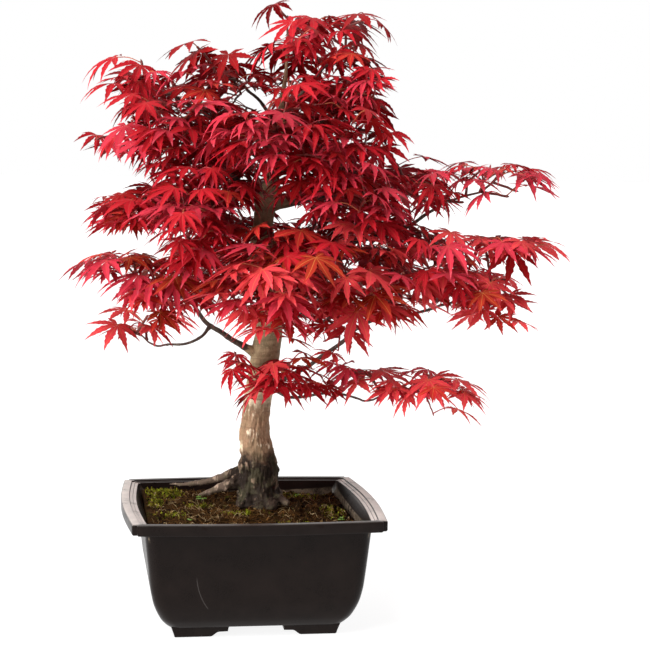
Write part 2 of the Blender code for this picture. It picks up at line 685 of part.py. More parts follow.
class Space:
    """What is taken already, and which part of the crown each mass may fill."""

    def __init__(self, limb_solids):
        self.verts = []
        self.faces = []
        self.stems = []
        for solid in limb_solids:
            self.add(solid)
        self.refresh()

    def add(self, solid):
        base = len(self.verts)
        self.verts.extend(solid[0])
        self.faces.extend(tuple(i + base for i in face) for face in solid[1])

    def refresh(self):
        self.skin = BVHTree.FromPolygons(self.verts, self.faces, all_triangles=False)

    def hits(self, index, solid):
        feeler = tree_of(*solid)
        if self.skin.overlap(feeler):
            return True
        return any(stem.overlap(feeler) for i, stem in enumerate(self.stems) if i != index)

    def owns(self, index, verts):
        heights = [row[0] for row in CROWN_REACH]
        left = [row[1] for row in CROWN_REACH]
        right = [row[2] for row in CROWN_REACH]
        for p in verts:
            low = np.interp(p[2], heights, left) - REACH_EASE
            high = np.interp(p[2], heights, right) + REACH_EASE
            if not low < p[0] < high:
                return False
            own = self.measure(index, p)
            if own > REACH:
                return False
            for other in range(len(MASSES)):
                if other != index and self.measure(other, p) < own - STRAY:
                    return False
        return True

    def measure(self, index, p):
        centre, half = self.cells[index]
        return math.sqrt(sum(((p[i] - centre[i]) / half[i]) ** 2 for i in range(3)))

    def in_window(self, verts):
        for p in verts:
            for x, z, wide, tall in WINDOWS:
                if abs(p[0] - x) < wide and abs(p[2] - z) < tall:
                    return True
        return False


def turned_solid(solid):
    """Take a solid from the tree's frame to the pot's."""
    turn = Matrix.Rotation(TREE_TURN, 3, "Z")
    return [turn @ Vector(v) for v in solid[0]], solid[1]


def back_to_tree(point):
    return Matrix.Rotation(-TREE_TURN, 3, "Z") @ point


def spread_points(rng, centre, half, count, start):
    """Spots for sprays, even over the mass and mostly towards its outside."""
    golden = math.pi * (3 - math.sqrt(5))
    spots = []
    shift = rng.uniform(0, 2 * math.pi)
    for i in range(count):
        rise = 1 - 2 * (i + 0.5) / count
        ring = math.sqrt(max(0.0, 1 - rise * rise))
        turn = shift + golden * i
        reach = 0.80 - 0.42 * (i % 3 == 2)
        spot = Vector((
            centre[0] + half[0] * reach * ring * math.cos(turn),
            centre[1] + half[1] * reach * ring * math.sin(turn),
            centre[2] + half[2] * reach * rise,
        ))
        spot += Vector(rng.uniform(-0.006, 0.006, 3))
        spots.append(spot)
    return sorted(spots, key=lambda p: (p - start).length)


def mass_stem(index, skins, ends, routes):
    """The one stem of a mass, from a hair off its limb towards the mass's middle."""
    name, limb, centre = MASSES[index][:3]
    centre = Vector(centre)
    if name in SIDE_STARTS:
        first, second, share = SIDE_STARTS[name]
        a, b = routes[limb][first], routes[limb][second]
        mid = back_to_tree(a + (b - a) * share)
        aim = centre - mid
        along = back_to_tree(b - a).normalized()
        aim = (aim - along * aim.dot(along) * 0.6).normalized()
        start = back_to_tree(seat(skins[limb], tree_point(*mid), tree_point(*aim), STEM_R * 1.02))
    else:
        tip, heading = ends[limb]
        start = back_to_tree(tip + heading * GAP * 1.2)
        aim = back_to_tree(heading)
    toward = centre - start
    reach = toward.length
    bend = start + aim * min(0.010, reach * 0.3)
    return [start, bend, start + toward * 0.75 if reach > 0.02 else start + aim * 0.02]


def grow_mass(index, space, stem):
    """Twigs that branch from one stem by a seeded rule, and leaves on their ends."""
    centre, half, quota, leads = MASSES[index][2:]
    rng = np.random.default_rng(100 + index)
    start = stem[0]
    solids = [limb_solid(stem, (STEM_R, STEM_R * 0.95, STEM_R * 0.75), 3, 0.3)]
    run = stem[2] - stem[1]
    last = stem[2] - run.normalized() * 0.0015
    nodes = [(stem[1], stem[1] - stem[0]), (stem[1] + run * 0.5, run), (last, run)]
    leaves = []
    twigs = [tree_of(*solids[0])]
    leads = sorted((Vector(p) for p in leads), key=lambda p: (p - start).length)
    spots = list(leads)
    for layer in range(3):
        for spot in spread_points(rng, centre, half, 7 + 3 * layer, start):
            if all((spot - other).length > 0.017 for other in spots):
                spots.append(spot)
    lead_twigs = []
    for spot in leads:
        laid = lay_twig(rng, index, space, nodes, spot, leaves)
        if laid:
            route, twig = laid
            solids.append(twig)
            twigs.append(tree_of(*twig))
            nodes.extend(nodes_along(route))
            lead_twigs.append((route, twigs[-1]))
    for route, own in reversed(lead_twigs):
        others = [t for t in twigs if t is not own]
        room = quota - len(leaves)
        solids.extend(leaf_spray(rng, index, space, route, leaves, others, room, LEAD_DROOP))
    for spot in spots[len(leads):]:
        if len(leaves) >= quota:
            break
        laid = lay_twig(rng, index, space, nodes, spot, leaves)
        if not laid:
            continue
        route, twig = laid
        grown = leaf_spray(rng, index, space, route, leaves, twigs, quota - len(leaves), DROOP)
        if not grown:
            continue
        solids.append(twig)
        twigs.append(tree_of(*twig))
        nodes.extend(nodes_along(route))
        solids.extend(grown)
    return [turned_solid(s) for s in solids], len(leaves)


def nodes_along(route):
    """Where further twigs may leave a twig, and which way it runs there."""
    if len(route) == 2:
        return [((route[0] + route[1]) / 2, route[1] - route[0])]
    return [(route[1], route[2] - route[0]), (route[1].lerp(route[2], 0.5), route[2] - route[1])]


def lay_twig(rng, index, space, nodes, spot, leaves):
    """A twig from the nearest node to a spot, or nothing where something is in its way."""
    best = None
    for point, ahead in nodes:
        away = spot - point
        cost = away.length + 0.012 * (1 - away.normalized().dot(ahead.normalized()))
        if best is None or cost < best[0]:
            best = (cost, point)
    if best[0] > TWIG_LONGEST:
        return None
    root = best[1]
    middle = (root + spot) / 2 + Vector((0, 0, 0.10 * (spot - root).length))
    sunk = root + (middle - root).normalized() * 0.0002
    if (spot - root).length > 0.030:
        route, radii = [sunk, middle, spot], (TWIG_R, TWIG_R * 0.95, TWIG_R * 0.85)
    else:
        route, radii = [sunk, spot], (TWIG_R, TWIG_R * 0.85)
    twig = limb_solid(route, radii, 3, rng.uniform(0, 2))
    wide = limb_solid([root.lerp(route[1], 0.06)] + route[1:], (TWIG_R + CLEAR,) * len(route), 3, 0.0)
    if space.hits(index, turned_solid(wide)) or space.in_window(wide[0]):
        return None
    feeler = tree_of(*wide)
    if any(feeler.overlap(other) for other in leaves):
        return None
    return route, twig


def leaf_spray(rng, index, space, route, leaves, twigs, room, droops):
    """Two side leaves and an end leaf on their stalks near a twig's end."""
    spot = route[-1]
    run = (route[-1] - route[-2]).normalized()
    outward = spot - Vector((CROWN_AXIS[0], CROWN_AXIS[1], spot.z))
    heading = math.atan2(outward.y, outward.x)
    grown = []
    for which, back in ((0, 0.0014), (-1, 0.0042), (1, 0.0070)):
        if len(grown) >= room:
            break
        root = spot - run * back
        for attempt in range(TRIES):
            loose = 0.25 + 0.07 * attempt
            turn = heading + which * rng.uniform(0.8, 1.6) + rng.uniform(-loose, loose)
            droop = rng.uniform(*(DROOP if which else droops))
            size = LEAF_LONG * rng.uniform(0.90, 1.06) * (1 - 0.008 * attempt)
            flat = Vector((math.cos(turn), math.sin(turn), 0))
            lift = min(rng.uniform(0.1, 0.7), 1.15 - droop)
            stalk = flat * math.cos(lift) + UP * math.sin(lift)
            along = flat * math.cos(droop) - UP * math.sin(droop)
            face = flat * math.sin(droop) + UP * math.cos(droop)
            roll = rng.uniform(-0.40, 0.40)
            face = (Matrix.Rotation(roll, 3, along) @ face).normalized()
            base = root + stalk * rng.uniform(0.009, 0.022)
            joint = base + along * NOTCH_BACK * size
            curl = LEAF_CURL * rng.uniform(0.6, 1.3)
            wide = leaf_solid(joint, along, face, size * 1.03, LEAF_THICK + 2 * CLEAR, curl,
                              root + stalk * 0.003, STALK_R + CLEAR, STALK_R + CLEAR)
            if space.in_window(wide[0]):
                continue
            if not space.owns(index, wide[0]):
                continue
            if space.hits(index, turned_solid(wide)):
                continue
            own = tree_of(*wide)
            if any(own.overlap(other) for other in leaves):
                continue
            if any(own.overlap(other) for other in twigs):
                continue
            leaves.append(own)
            grown.append(leaf_solid(joint, along, face, size, LEAF_THICK, curl, root, STALK_R,
                                    STALK_ROOT_R))
            break
    return grown


def build_masses(limbs, skins, ends, routes, material):
    space = Space([solid_of(limb) for limb in limbs])
    space.cells = [(m[2], m[3]) for m in MASSES]
    stems = [mass_stem(index, skins, ends, routes) for index in range(len(MASSES))]
    for stem in stems:
        room = [stem[0].lerp(stem[1], 0.1)] + stem[1:]
        fat = limb_solid(room, (STEM_R + CLEAR,) * 3, 4)
        space.stems.append(tree_of(*turned_solid(fat)))
        if space.skin.overlap(space.stems[-1]):
            print("stem in a limb", MASSES[len(space.stems) - 1][0])
    total = 0
    for index, mass in enumerate(MASSES):
        solids, count = grow_mass(index, space, stems[index])
        thing = fuse(mass[0], solids, material)
        space.add(solid_of(thing))
        space.refresh()
        total += count
    print("leaves in all", total)


def centre_all():
    """Stand the whole plant on z = 0 with the middle of its box on the axis."""
    things = [t for t in bpy.data.objects if t.type == "MESH"]
    low = Vector((1e9, 1e9, 1e9))
    high = -low
    for thing in things:
        for v in thing.data.vertices:
            for i in range(3):
                low[i] = min(low[i], v.co[i])
                high[i] = max(high[i], v.co[i])
    shift = Vector((-(low.x + high.x) / 2, -(low.y + high.y) / 2, -low.z))
    for thing in things:
        thing.data.transform(Matrix.Translation(shift))
        thing.data.update()
    print("box", [round(v, 4) for v in high - low], "shift", [round(v, 4) for v in shift])
    print("faces in all", sum(len(t.data.polygons) for t in things))


def main():
    for thing in list(bpy.data.objects):
        bpy.data.objects.remove(thing)
    plastic = make_material("black_plastic", (0.016, 0.013, 0.012), 0.45)
    earth = make_material("earth", (0.060, 0.036, 0.018), 0.95)
    bark = make_material("bark", (0.200, 0.160, 0.110), 0.85)
    limb_bark = make_material("limb_bark", (0.120, 0.070, 0.050), 0.80)
    red_leaf = make_material("red_leaf", (0.480, 0.018, 0.020), 0.60)
    build_pot(plastic)
    build_soil(earth)
    trunk = build_trunk(bark)
    boughs, skins, ends, routes = build_boughs(trunk, limb_bark)
    build_masses([trunk] + boughs, skins, ends, routes, red_leaf)
    centre_all()


main()
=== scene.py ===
from math import atan2, cos, exp, hypot, pi, radians, sin, sqrt, tan

import bmesh
import bpy
import numpy as np
from mathutils import Matrix, Vector, noise
from mathutils.bvhtree import BVHTree


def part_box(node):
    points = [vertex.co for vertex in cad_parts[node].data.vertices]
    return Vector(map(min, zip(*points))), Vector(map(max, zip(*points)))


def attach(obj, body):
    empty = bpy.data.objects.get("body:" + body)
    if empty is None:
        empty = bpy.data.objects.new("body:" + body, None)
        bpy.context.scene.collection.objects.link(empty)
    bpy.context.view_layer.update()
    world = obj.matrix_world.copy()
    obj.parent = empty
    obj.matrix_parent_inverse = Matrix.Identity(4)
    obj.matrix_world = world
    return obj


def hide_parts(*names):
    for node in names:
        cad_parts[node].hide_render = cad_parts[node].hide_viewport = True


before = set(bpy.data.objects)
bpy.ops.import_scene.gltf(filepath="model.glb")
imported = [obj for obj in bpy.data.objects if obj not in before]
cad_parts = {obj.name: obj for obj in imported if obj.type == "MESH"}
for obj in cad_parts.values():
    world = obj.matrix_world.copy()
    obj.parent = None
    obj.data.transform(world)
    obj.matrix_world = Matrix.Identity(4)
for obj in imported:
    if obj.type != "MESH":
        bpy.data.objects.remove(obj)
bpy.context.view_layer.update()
print("frame loaded,", len(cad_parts), "nodes")

# everything is laid out round the pot's centre on the ground, then moved to where the frame has it
potLow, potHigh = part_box("pot")
potCentre = Vector(((potLow[0] + potHigh[0]) / 2, (potLow[1] + potHigh[1]) / 2, 0))
upward = Vector((0, 0, 1))


def unit(value):
    # a share, kept between nothing and all
    return min(max(value, 0), 1)


def eased(value):
    # the same with a soft start and a soft end
    t = unit(value)
    return t * t * (3 - 2 * t)


def addToScene(thing):
    bpy.context.scene.collection.objects.link(thing)
    return thing


# the view: metres and radians against the pot's centre, the focal length in pixels of a square frame
view = {
    "side": 0.0613,
    "back": 1.4485,
    "height": 0.3808,
    "pitch": 0.094,
    "turn": 0.1445,
    "roll": 0.0134,
    "focal": 1766.7,
    "frameWidth": 650,
    "sensor": 36,
}


def placeCamera():
    spin = Matrix.Rotation(-view["turn"], 3, "Z")
    ahead = Vector((0, cos(view["pitch"]), -sin(view["pitch"])))
    right = Vector((1, 0, 0))
    over = right.cross(ahead)
    tilt = Matrix.Rotation(-view["roll"], 3, ahead)
    right, over = tilt @ right, tilt @ over
    spot = spin @ Vector((view["side"], -view["back"], view["height"])) + potCentre
    turned = Matrix((spin @ right, spin @ over, spin @ -ahead)).transposed()
    lens = bpy.data.cameras.new("camera")
    lens.sensor_width = view["sensor"]
    lens.lens = view["focal"] / view["frameWidth"] * view["sensor"]
    lens.clip_start = 0.05
    camera = bpy.data.objects.new("camera", lens)
    camera.matrix_world = Matrix.Translation(spot) @ turned.to_4x4()
    bpy.context.scene.camera = addToScene(camera)


def makePiece(name, verts, faces, material):
    mesh = bpy.data.meshes.new(name)
    mesh.from_pydata([tuple(Vector(v) + potCentre) for v in verts], [], faces)
    return finishPiece(name, mesh, [material])


def finishPiece(name, mesh, materials, faceMaterial=None, smooth=True):
    mesh.update()
    for material in materials:
        mesh.materials.append(material)
    if faceMaterial is not None:
        mesh.polygons.foreach_set("material_index", np.asarray(faceMaterial, dtype=np.int32))
    mesh.polygons.foreach_set("use_smooth", np.full(len(mesh.polygons), smooth))
    piece = addToScene(bpy.data.objects.new(name, mesh))
    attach(piece, "root")
    return piece


def applyModifier(piece, kind, **settings):
    modifier = piece.modifiers.new("step", kind)
    for name, value in settings.items():
        setattr(modifier, name, value)
    bpy.context.view_layer.objects.active = piece
    bpy.ops.object.modifier_apply(modifier="step")


def fixNormals(piece):
    body = bmesh.new()
    body.from_mesh(piece.data)
    bmesh.ops.recalc_face_normals(body, faces=body.faces)
    body.to_mesh(piece.data)
    body.free()


def ringSkin(rings, closedEnds=True):
    count = len(rings[0])
    faces = []
    for low in range(0, (len(rings) - 1) * count, count):
        for i in range(count):
            j = (i + 1) % count
            faces.append((low + i, low + j, low + count + j, low + count + i))
    if closedEnds:
        last = (len(rings) - 1) * count
        faces.append(tuple(reversed(range(count))))
        faces.append(tuple(range(last, last + count)))
    return faces


def openSkin(rings):
    # the same without ends and in triangles
    triangles = []
    for a, b, c, d in ringSkin(rings, closedEnds=False):
        triangles.extend(((a, b, c), (a, c, d)))
    return triangles


def allPoints(rings):
    return [p for ring in rings for p in ring]


def joinSolids(solids):
    # several closed skins told as one list of points and one of faces
    verts, faces = [], []
    for points, skin in solids:
        base = len(verts)
        verts.extend(points)
        faces.extend(tuple(base + i for i in face) for face in skin)
    return verts, faces


def ballSkin(subdivisions, radius):
    ball = bmesh.new()
    bmesh.ops.create_icosphere(ball, subdivisions=subdivisions, radius=radius)
    points = [v.co.copy() for v in ball.verts]
    skin = [tuple(v.index for v in f.verts) for f in ball.faces]
    ball.free()
    return points, skin


def runLengths(route):
    # how far along a route each of its points lies
    return np.cumsum([0] + [(b - a).length for a, b in zip(route, route[1:])])


def smoothRoute(points, steps):
    # a curve through the points, with an even number of steps between each two
    knots = [Vector(p) for p in points]
    padded = [knots[0] * 2 - knots[1]] + knots + [knots[-1] * 2 - knots[-2]]
    route = []
    for i in range(1, len(padded) - 2):
        a, b, c, d = padded[i - 1:i + 3]
        for k in range(steps):
            t = k / steps
            route.append(0.5 * (2 * b + (c - a) * t + (2 * a - 5 * b + 4 * c - d) * t * t
                                + (3 * b - a - 3 * c + d) * t * t * t))
    route.append(knots[-1])
    return route


def tubeRings(route, radii, sides, twist=0):
    rings = []
    side = None
    for i, point in enumerate(route):
        ahead = (route[min(i + 1, len(route) - 1)] - route[max(i - 1, 0)]).normalized()
        if side is None:
            side = ahead.orthogonal().normalized()
        side = (side - ahead * side.dot(ahead)).normalized()
        other = ahead.cross(side)
        ring = []
        for k in range(sides):
            turn = twist + 2 * pi * k / sides
            ring.append(point + (side * cos(turn) + other * sin(turn)) * radii[i])
        rings.append(ring)
    return rings


def limbSolid(points, radii, sides, twist=0):
    rings = tubeRings([Vector(p) for p in points], radii, sides, twist)
    return allPoints(rings), ringSkin(rings)


class Bundle:
    # gathers many small closed tubes and sheets into one triangle mesh

    def __init__(self):
        self.points = []
        self.triangles = []
        self.kinds = []
        self.count = 0

    def add(self, points, triangles, kinds):
        self.points.append(np.asarray(points, dtype=np.float64).reshape(-1, 3))
        self.triangles.append(np.asarray(triangles, dtype=np.int64) + self.count)
        self.kinds.append(np.broadcast_to(np.asarray(kinds), (len(triangles),)))
        self.count += len(self.points[-1])

    def tube(self, route, radii, sides, kind, pointed=False):
        rings = tubeRings(route, radii, sides)
        points = [tuple(p) for p in allPoints(rings)]
        triangles = openSkin(rings)
        last = (len(rings) - 1) * sides
        if pointed:
            points.append(tuple(route[-1] + (route[-1] - route[-2]).normalized() * radii[-1] * 2))
            triangles.extend((last + i, last + (i + 1) % sides, len(points) - 1) for i in range(sides))
        else:
            triangles.extend((last, last + i, last + i + 1) for i in range(1, sides - 1))
        triangles.extend((0, i + 1, i) for i in range(1, sides - 1))
        self.add(points, triangles, kind)

    def build(self, name, materials, finish, smooth=True):
        # the mesh is filled from arrays: a list for each of so many small parts would be slow
        mesh = bpy.data.meshes.new(name)
        spots = np.concatenate(self.points).astype(np.float32) + np.array(potCentre, dtype=np.float32)
        corners = np.concatenate(self.triangles).astype(np.int32)
        mesh.vertices.add(len(spots))
        mesh.vertices.foreach_set("co", spots.ravel())
        mesh.loops.add(corners.size)
        mesh.loops.foreach_set("vertex_index", corners.ravel())
        mesh.polygons.add(len(corners))
        mesh.polygons.foreach_set("loop_start", np.arange(0, corners.size, 3, dtype=np.int32))
        mesh.validate()
        print(name, len(corners), "triangles")
        return finishPiece(name, mesh, materials, np.concatenate(self.kinds), smooth)


def newGroup(name, inputs, outputs):
    group = bpy.data.node_groups.new(name, "ShaderNodeTree")
    vector = group.interface.new_socket(name="Vector", in_out="INPUT", socket_type="NodeSocketVector")
    vector.default_value = (0, 0, 0)
    for label, value in inputs.items():
        socket = group.interface.new_socket(name=label, in_out="INPUT", socket_type="NodeSocketFloat")
        socket.default_value = value
    for label in outputs:
        group.interface.new_socket(name=label, in_out="OUTPUT", socket_type="NodeSocketFloat")
    return group, group.nodes.new("NodeGroupInput").outputs, group.nodes.new("NodeGroupOutput").inputs


def feed(tree, socket, value):
    # a plain value, a colour or another node's output
    if isinstance(value, (int, float)):
        socket.default_value = value
    elif isinstance(value, (tuple, Vector)):
        socket.default_value = (*value, 1)[:len(socket.default_value)]
    else:
        tree.links.new(value, socket)


def mathNode(tree, operation, first, second=None):
    node = tree.nodes.new("ShaderNodeMath")
    node.operation = operation
    feed(tree, node.inputs[0], first)
    if second is not None:
        feed(tree, node.inputs[1], second)
    return node.outputs[0]


def rampNode(tree, factor, low, high):
    # 0 below low and 1 above high, with a soft change between
    node = tree.nodes.new("ShaderNodeMapRange")
    node.interpolation_type = "SMOOTHSTEP"
    tree.links.new(factor, node.inputs["Value"])
    node.inputs["From Min"].default_value = low
    node.inputs["From Max"].default_value = high
    return node.outputs["Result"]


def rangeNode(tree, factor, low, high):
    # a factor of 0 to 1 told as low to high
    node = tree.nodes.new("ShaderNodeMapRange")
    tree.links.new(factor, node.inputs["Value"])
    node.inputs["To Min"].default_value = low
    node.inputs["To Max"].default_value = high
    return node.outputs["Result"]


def noiseNode(tree, place, scale, detail=4, rough=0.55):
    node = tree.nodes.new("ShaderNodeTexNoise")
    tree.links.new(place, node.inputs["Vector"])
    feed(tree, node.inputs["Scale"], scale)
    node.inputs["Detail"].default_value = detail
    node.inputs["Roughness"].default_value = rough
    return node.outputs["Fac"]


def vectorNode(tree, operation, place, value):
    node = tree.nodes.new("ShaderNodeVectorMath")
    node.operation = operation
    feed(tree, node.inputs[0], place)
    feed(tree, node.inputs[1], value)
    return node.outputs[0]


def splitNode(tree, place):
    node = tree.nodes.new("ShaderNodeSeparateXYZ")
    tree.links.new(place, node.inputs[0])
    return node.outputs


def grainGroup():
    # two sizes of noise: Tone for colour, Height for bump
    group, given, made = newGroup("surfaceGrain", {"Coarse": 60, "Fine": 400, "Fine share": 0.4},
                                  ("Tone", "Height"))
    coarse = noiseNode(group, given["Vector"], given["Coarse"], 3)
    fine = noiseNode(group, given["Vector"], given["Fine"], 4)
    part = mathNode(group, "MULTIPLY", fine, given["Fine share"])
    rest = mathNode(group, "SUBTRACT", 1, given["Fine share"])
    total = mathNode(group, "ADD", mathNode(group, "MULTIPLY", coarse, rest), part)
    group.links.new(rampNode(group, total, 0.32, 0.68), made["Tone"])
    group.links.new(total, made["Height"])
    return group


def patchGroup():
    # ragged patches of stain, moss or lichen: Cover is how much of the surface they take
    group, given, made = newGroup("raggedPatches", {"Size": 40, "Cover": 0.4}, ("Mask",))
    wide = noiseNode(group, given["Vector"], given["Size"], 6, 0.65)
    edge = mathNode(group, "SUBTRACT", 0.72, mathNode(group, "MULTIPLY", given["Cover"], 0.44))
    over = mathNode(group, "SUBTRACT", wide, edge)
    group.links.new(rampNode(group, over, -0.03, 0.05), made["Mask"])
    return group


surfaceGrain = grainGroup()
raggedPatches = patchGroup()


class Finish:
    # one material: its shader, its place coordinates, and short ways to wire it up

    def __init__(self, name, roughness, colour=(0.5, 0.5, 0.5), specular=0.5):
        self.material = bpy.data.materials.new(name)
        self.material.use_nodes = True
        self.tree = self.material.node_tree
        self.shader = self.tree.nodes["Principled BSDF"]
        self.shader.inputs["Base Color"].default_value = (*colour, 1)
        self.shader.inputs["Roughness"].default_value = roughness
        self.shader.inputs["Specular IOR Level"].default_value = specular
        self.place = self.tree.nodes.new("ShaderNodeTexCoord").outputs["Object"]

    def math(self, operation, first, second=None):
        return mathNode(self.tree, operation, first, second)

    def times(self, first, *others):
        for other in others:
            first = self.math("MULTIPLY", first, other)
        return first

    def plus(self, first, second):
        return self.math("ADD", first, second)

    def less(self, first, second):
        return self.math("SUBTRACT", first, second)

    def above(self, factor, low, high):
        return rampNode(self.tree, factor, low, high)

    def below(self, factor, low, high):
        return self.less(1, self.above(factor, low, high))

    def stretched(self, x, y, z):
        # the coordinates squeezed or drawn out along each axis
        return vectorNode(self.tree, "MULTIPLY", self.place, (x, y, z))

    def noise(self, place, scale, detail, rough=0.55):
        return noiseNode(self.tree, place, scale, detail, rough)

    def attribute(self, name):
        node = self.tree.nodes.new("ShaderNodeAttribute")
        node.attribute_name = name
        return node.outputs["Fac"]

    def group(self, group, place, **values):
        node = self.tree.nodes.new("ShaderNodeGroup")
        node.node_tree = group
        self.tree.links.new(place, node.inputs["Vector"])
        for label, value in values.items():
            node.inputs[label.replace("_", " ")].default_value = value
        return node.outputs

    def grain(self, coarse, fine, share, place=None):
        # Tone for colour and roughness, Height for bump
        place = self.place if place is None else place
        made = self.group(surfaceGrain, place, Coarse=coarse, Fine=fine, Fine_share=share)
        return made["Tone"], made["Height"]

    def patches(self, size, cover):
        return self.group(raggedPatches, self.place, Size=size, Cover=cover)["Mask"]

    def mix(self, factor, first, second, way="MIX"):
        node = self.tree.nodes.new("ShaderNodeMix")
        node.data_type = "RGBA"
        node.blend_type = way
        for socket, value in ((0, factor), (6, first), (7, second)):
            feed(self.tree, node.inputs[socket], value)
        return node.outputs[2]

    def stain(self, mask, share, base, colour):
        return self.mix(self.times(mask, share), base, colour)

    def done(self, colour, tone, roughness, height=None, strength=0, distance=0):
        # wires up what was mixed; roughness goes from the first value to the second with the tone
        link, sockets = self.tree.links.new, self.shader.inputs
        link(colour, sockets["Base Color"])
        link(rangeNode(self.tree, tone, *roughness), sockets["Roughness"])
        if height is not None:
            node = self.tree.nodes.new("ShaderNodeBump")
            node.inputs["Strength"].default_value = strength
            node.inputs["Distance"].default_value = distance
            link(height, node.inputs["Height"])
            link(node.outputs["Normal"], sockets["Normal"])
        return self.material


tree = {
    "turn": -0.1445,
    "trunkY": 0.022,
    "flareLobes": 5,
    "crownAxis": (0.03, 0.016),
    "gap": 0.0003,
    "seatStep": 0.0001,
    "seatSteps": 600,
}

# trunk: height, sideways, radius
trunkShape = (
    (0.09, 0.0088, 0.02), (0.096, 0.0076, 0.0186), (0.104, 0.0066, 0.0171), (0.1137, 0.0064, 0.0168),
    (0.1256, 0.0061, 0.0163), (0.1325, 0.0059, 0.0149), (0.1435, 0.0041, 0.0138), (0.152, 0.0033, 0.0127),
    (0.1648, 0.004, 0.0122), (0.1776, 0.0054, 0.0119), (0.196, 0.0085, 0.0119), (0.2141, 0.0114, 0.0121),
    (0.2251, 0.0128, 0.0118), (0.2369, 0.0146, 0.0114), (0.26, 0.015, 0.0112), (0.28, 0.013, 0.012),
    (0.296, 0.0096, 0.0136), (0.308, 0.0085, 0.0108), (0.326, 0.0089, 0.0084), (0.34, 0.0104, 0.0088),
    (0.354, 0.0132, 0.007), (0.3872, 0.0203, 0.0047), (0.4276, 0.0232, 0.0024), (0.45, 0.0262, 0.0017),
    (0.476, 0.0272, 0.001),
)

# the cut stump of an old limb: foot, head and the two radii
cutStub = ((0.015, 0.024, 0.284), (0.0215, 0.026, 0.3085), 0.0098, 0.0086)

# boughs: name, what it leaves, height or point it leaves at, route, radii
boughPlans = (
    ("left_low", "trunk", 0.213, ((-0.033, 0.002, 0.242), (-0.045, 0, 0.256)), 0.0026, 0.0016),
    ("left_bottom", "left_low", (-0.033, 0.002, 0.242), ((-0.043, -0.006, 0.232), (-0.052, -0.008, 0.228),
     (-0.068, -0.009, 0.227)), 0.0013, 0.0009),
    ("left_mid", "trunk", 0.296, ((-0.03, 0.016, 0.316), (-0.048, 0.014, 0.326)), 0.0031, 0.0016),
    ("left_upper", "trunk", 0.34, ((-0.02, 0.018, 0.368), (-0.048, 0.015, 0.386)), 0.0028, 0.0014),
    ("left_top", "trunk", 0.368, ((-0.02, 0.016, 0.404), (-0.058, 0.014, 0.426)), 0.0022, 0.0013),
    ("left_crown", "trunk", 0.404, ((0.006, 0.02, 0.426), (-0.006, 0.018, 0.437)), 0.0016, 0.0011),
    ("right_crown", "trunk", 0.414, ((0.04, 0.018, 0.434), (0.052, 0.017, 0.448)), 0.0015, 0.0011),
    ("upper_right", "trunk", 0.386, ((0.044, 0.026, 0.402), (0.056, 0.024, 0.411)), 0.0019, 0.0012),
    ("right", "trunk", 0.345, ((0.037, 0.021, 0.346), (0.062, 0.014, 0.352), (0.096, 0.01, 0.352)), 0.0046,
     0.002),
    ("right_outer", "trunk", 0.306, ((0.045, 0.002, 0.312), (0.09, -0.006, 0.315), (0.124, -0.004, 0.325),
     (0.152, 0, 0.342)), 0.0028, 0.0012),
    ("right_low", "trunk", 0.186, ((0.038, 0.018, 0.202), (0.069, 0.012, 0.224), (0.098, 0.008, 0.247),
     (0.128, 0.006, 0.252), (0.158, 0.004, 0.262)), 0.0019, 0.0011),
    ("lower_right", "trunk", 0.198, ((0.026, 0, 0.187), (0.038, -0.003, 0.184), (0.068, -0.006, 0.189),
     (0.088, -0.008, 0.185)), 0.0015, 0.0009),
    ("front_low", "trunk", 0.252, ((0.02, -0.014, 0.259), (0.021, -0.034, 0.264)), 0.002, 0.0013),
    ("front_left", "trunk", 0.272, ((-0.01, -0.008, 0.283), (-0.022, -0.032, 0.29)), 0.002, 0.0013),
    ("front_upper", "trunk", 0.358, ((0.02, -0.004, 0.376), (0.024, -0.024, 0.384)), 0.0018, 0.0012),
    ("middle_right", "trunk", 0.248, ((0.043, 0.008, 0.251), (0.056, -0.008, 0.25)), 0.0023, 0.0014),
    ("middle_upper", "trunk", 0.366, ((0.04, 0.006, 0.374), (0.053, -0.006, 0.378)), 0.0019, 0.0012),
    ("back_low", "trunk", 0.258, ((0.02, 0.05, 0.267), (0.022, 0.068, 0.272)), 0.0023, 0.0014),
    ("back_left", "trunk", 0.312, ((-0.01, 0.046, 0.32), (-0.024, 0.062, 0.323)), 0.0024, 0.0014),
    ("back_right", "trunk", 0.352, ((0.036, 0.046, 0.357), (0.062, 0.062, 0.352)), 0.0024, 0.0014),
    ("back_top", "trunk", 0.392, ((0.022, 0.042, 0.404), (0.024, 0.052, 0.413)), 0.0017, 0.0012),
)

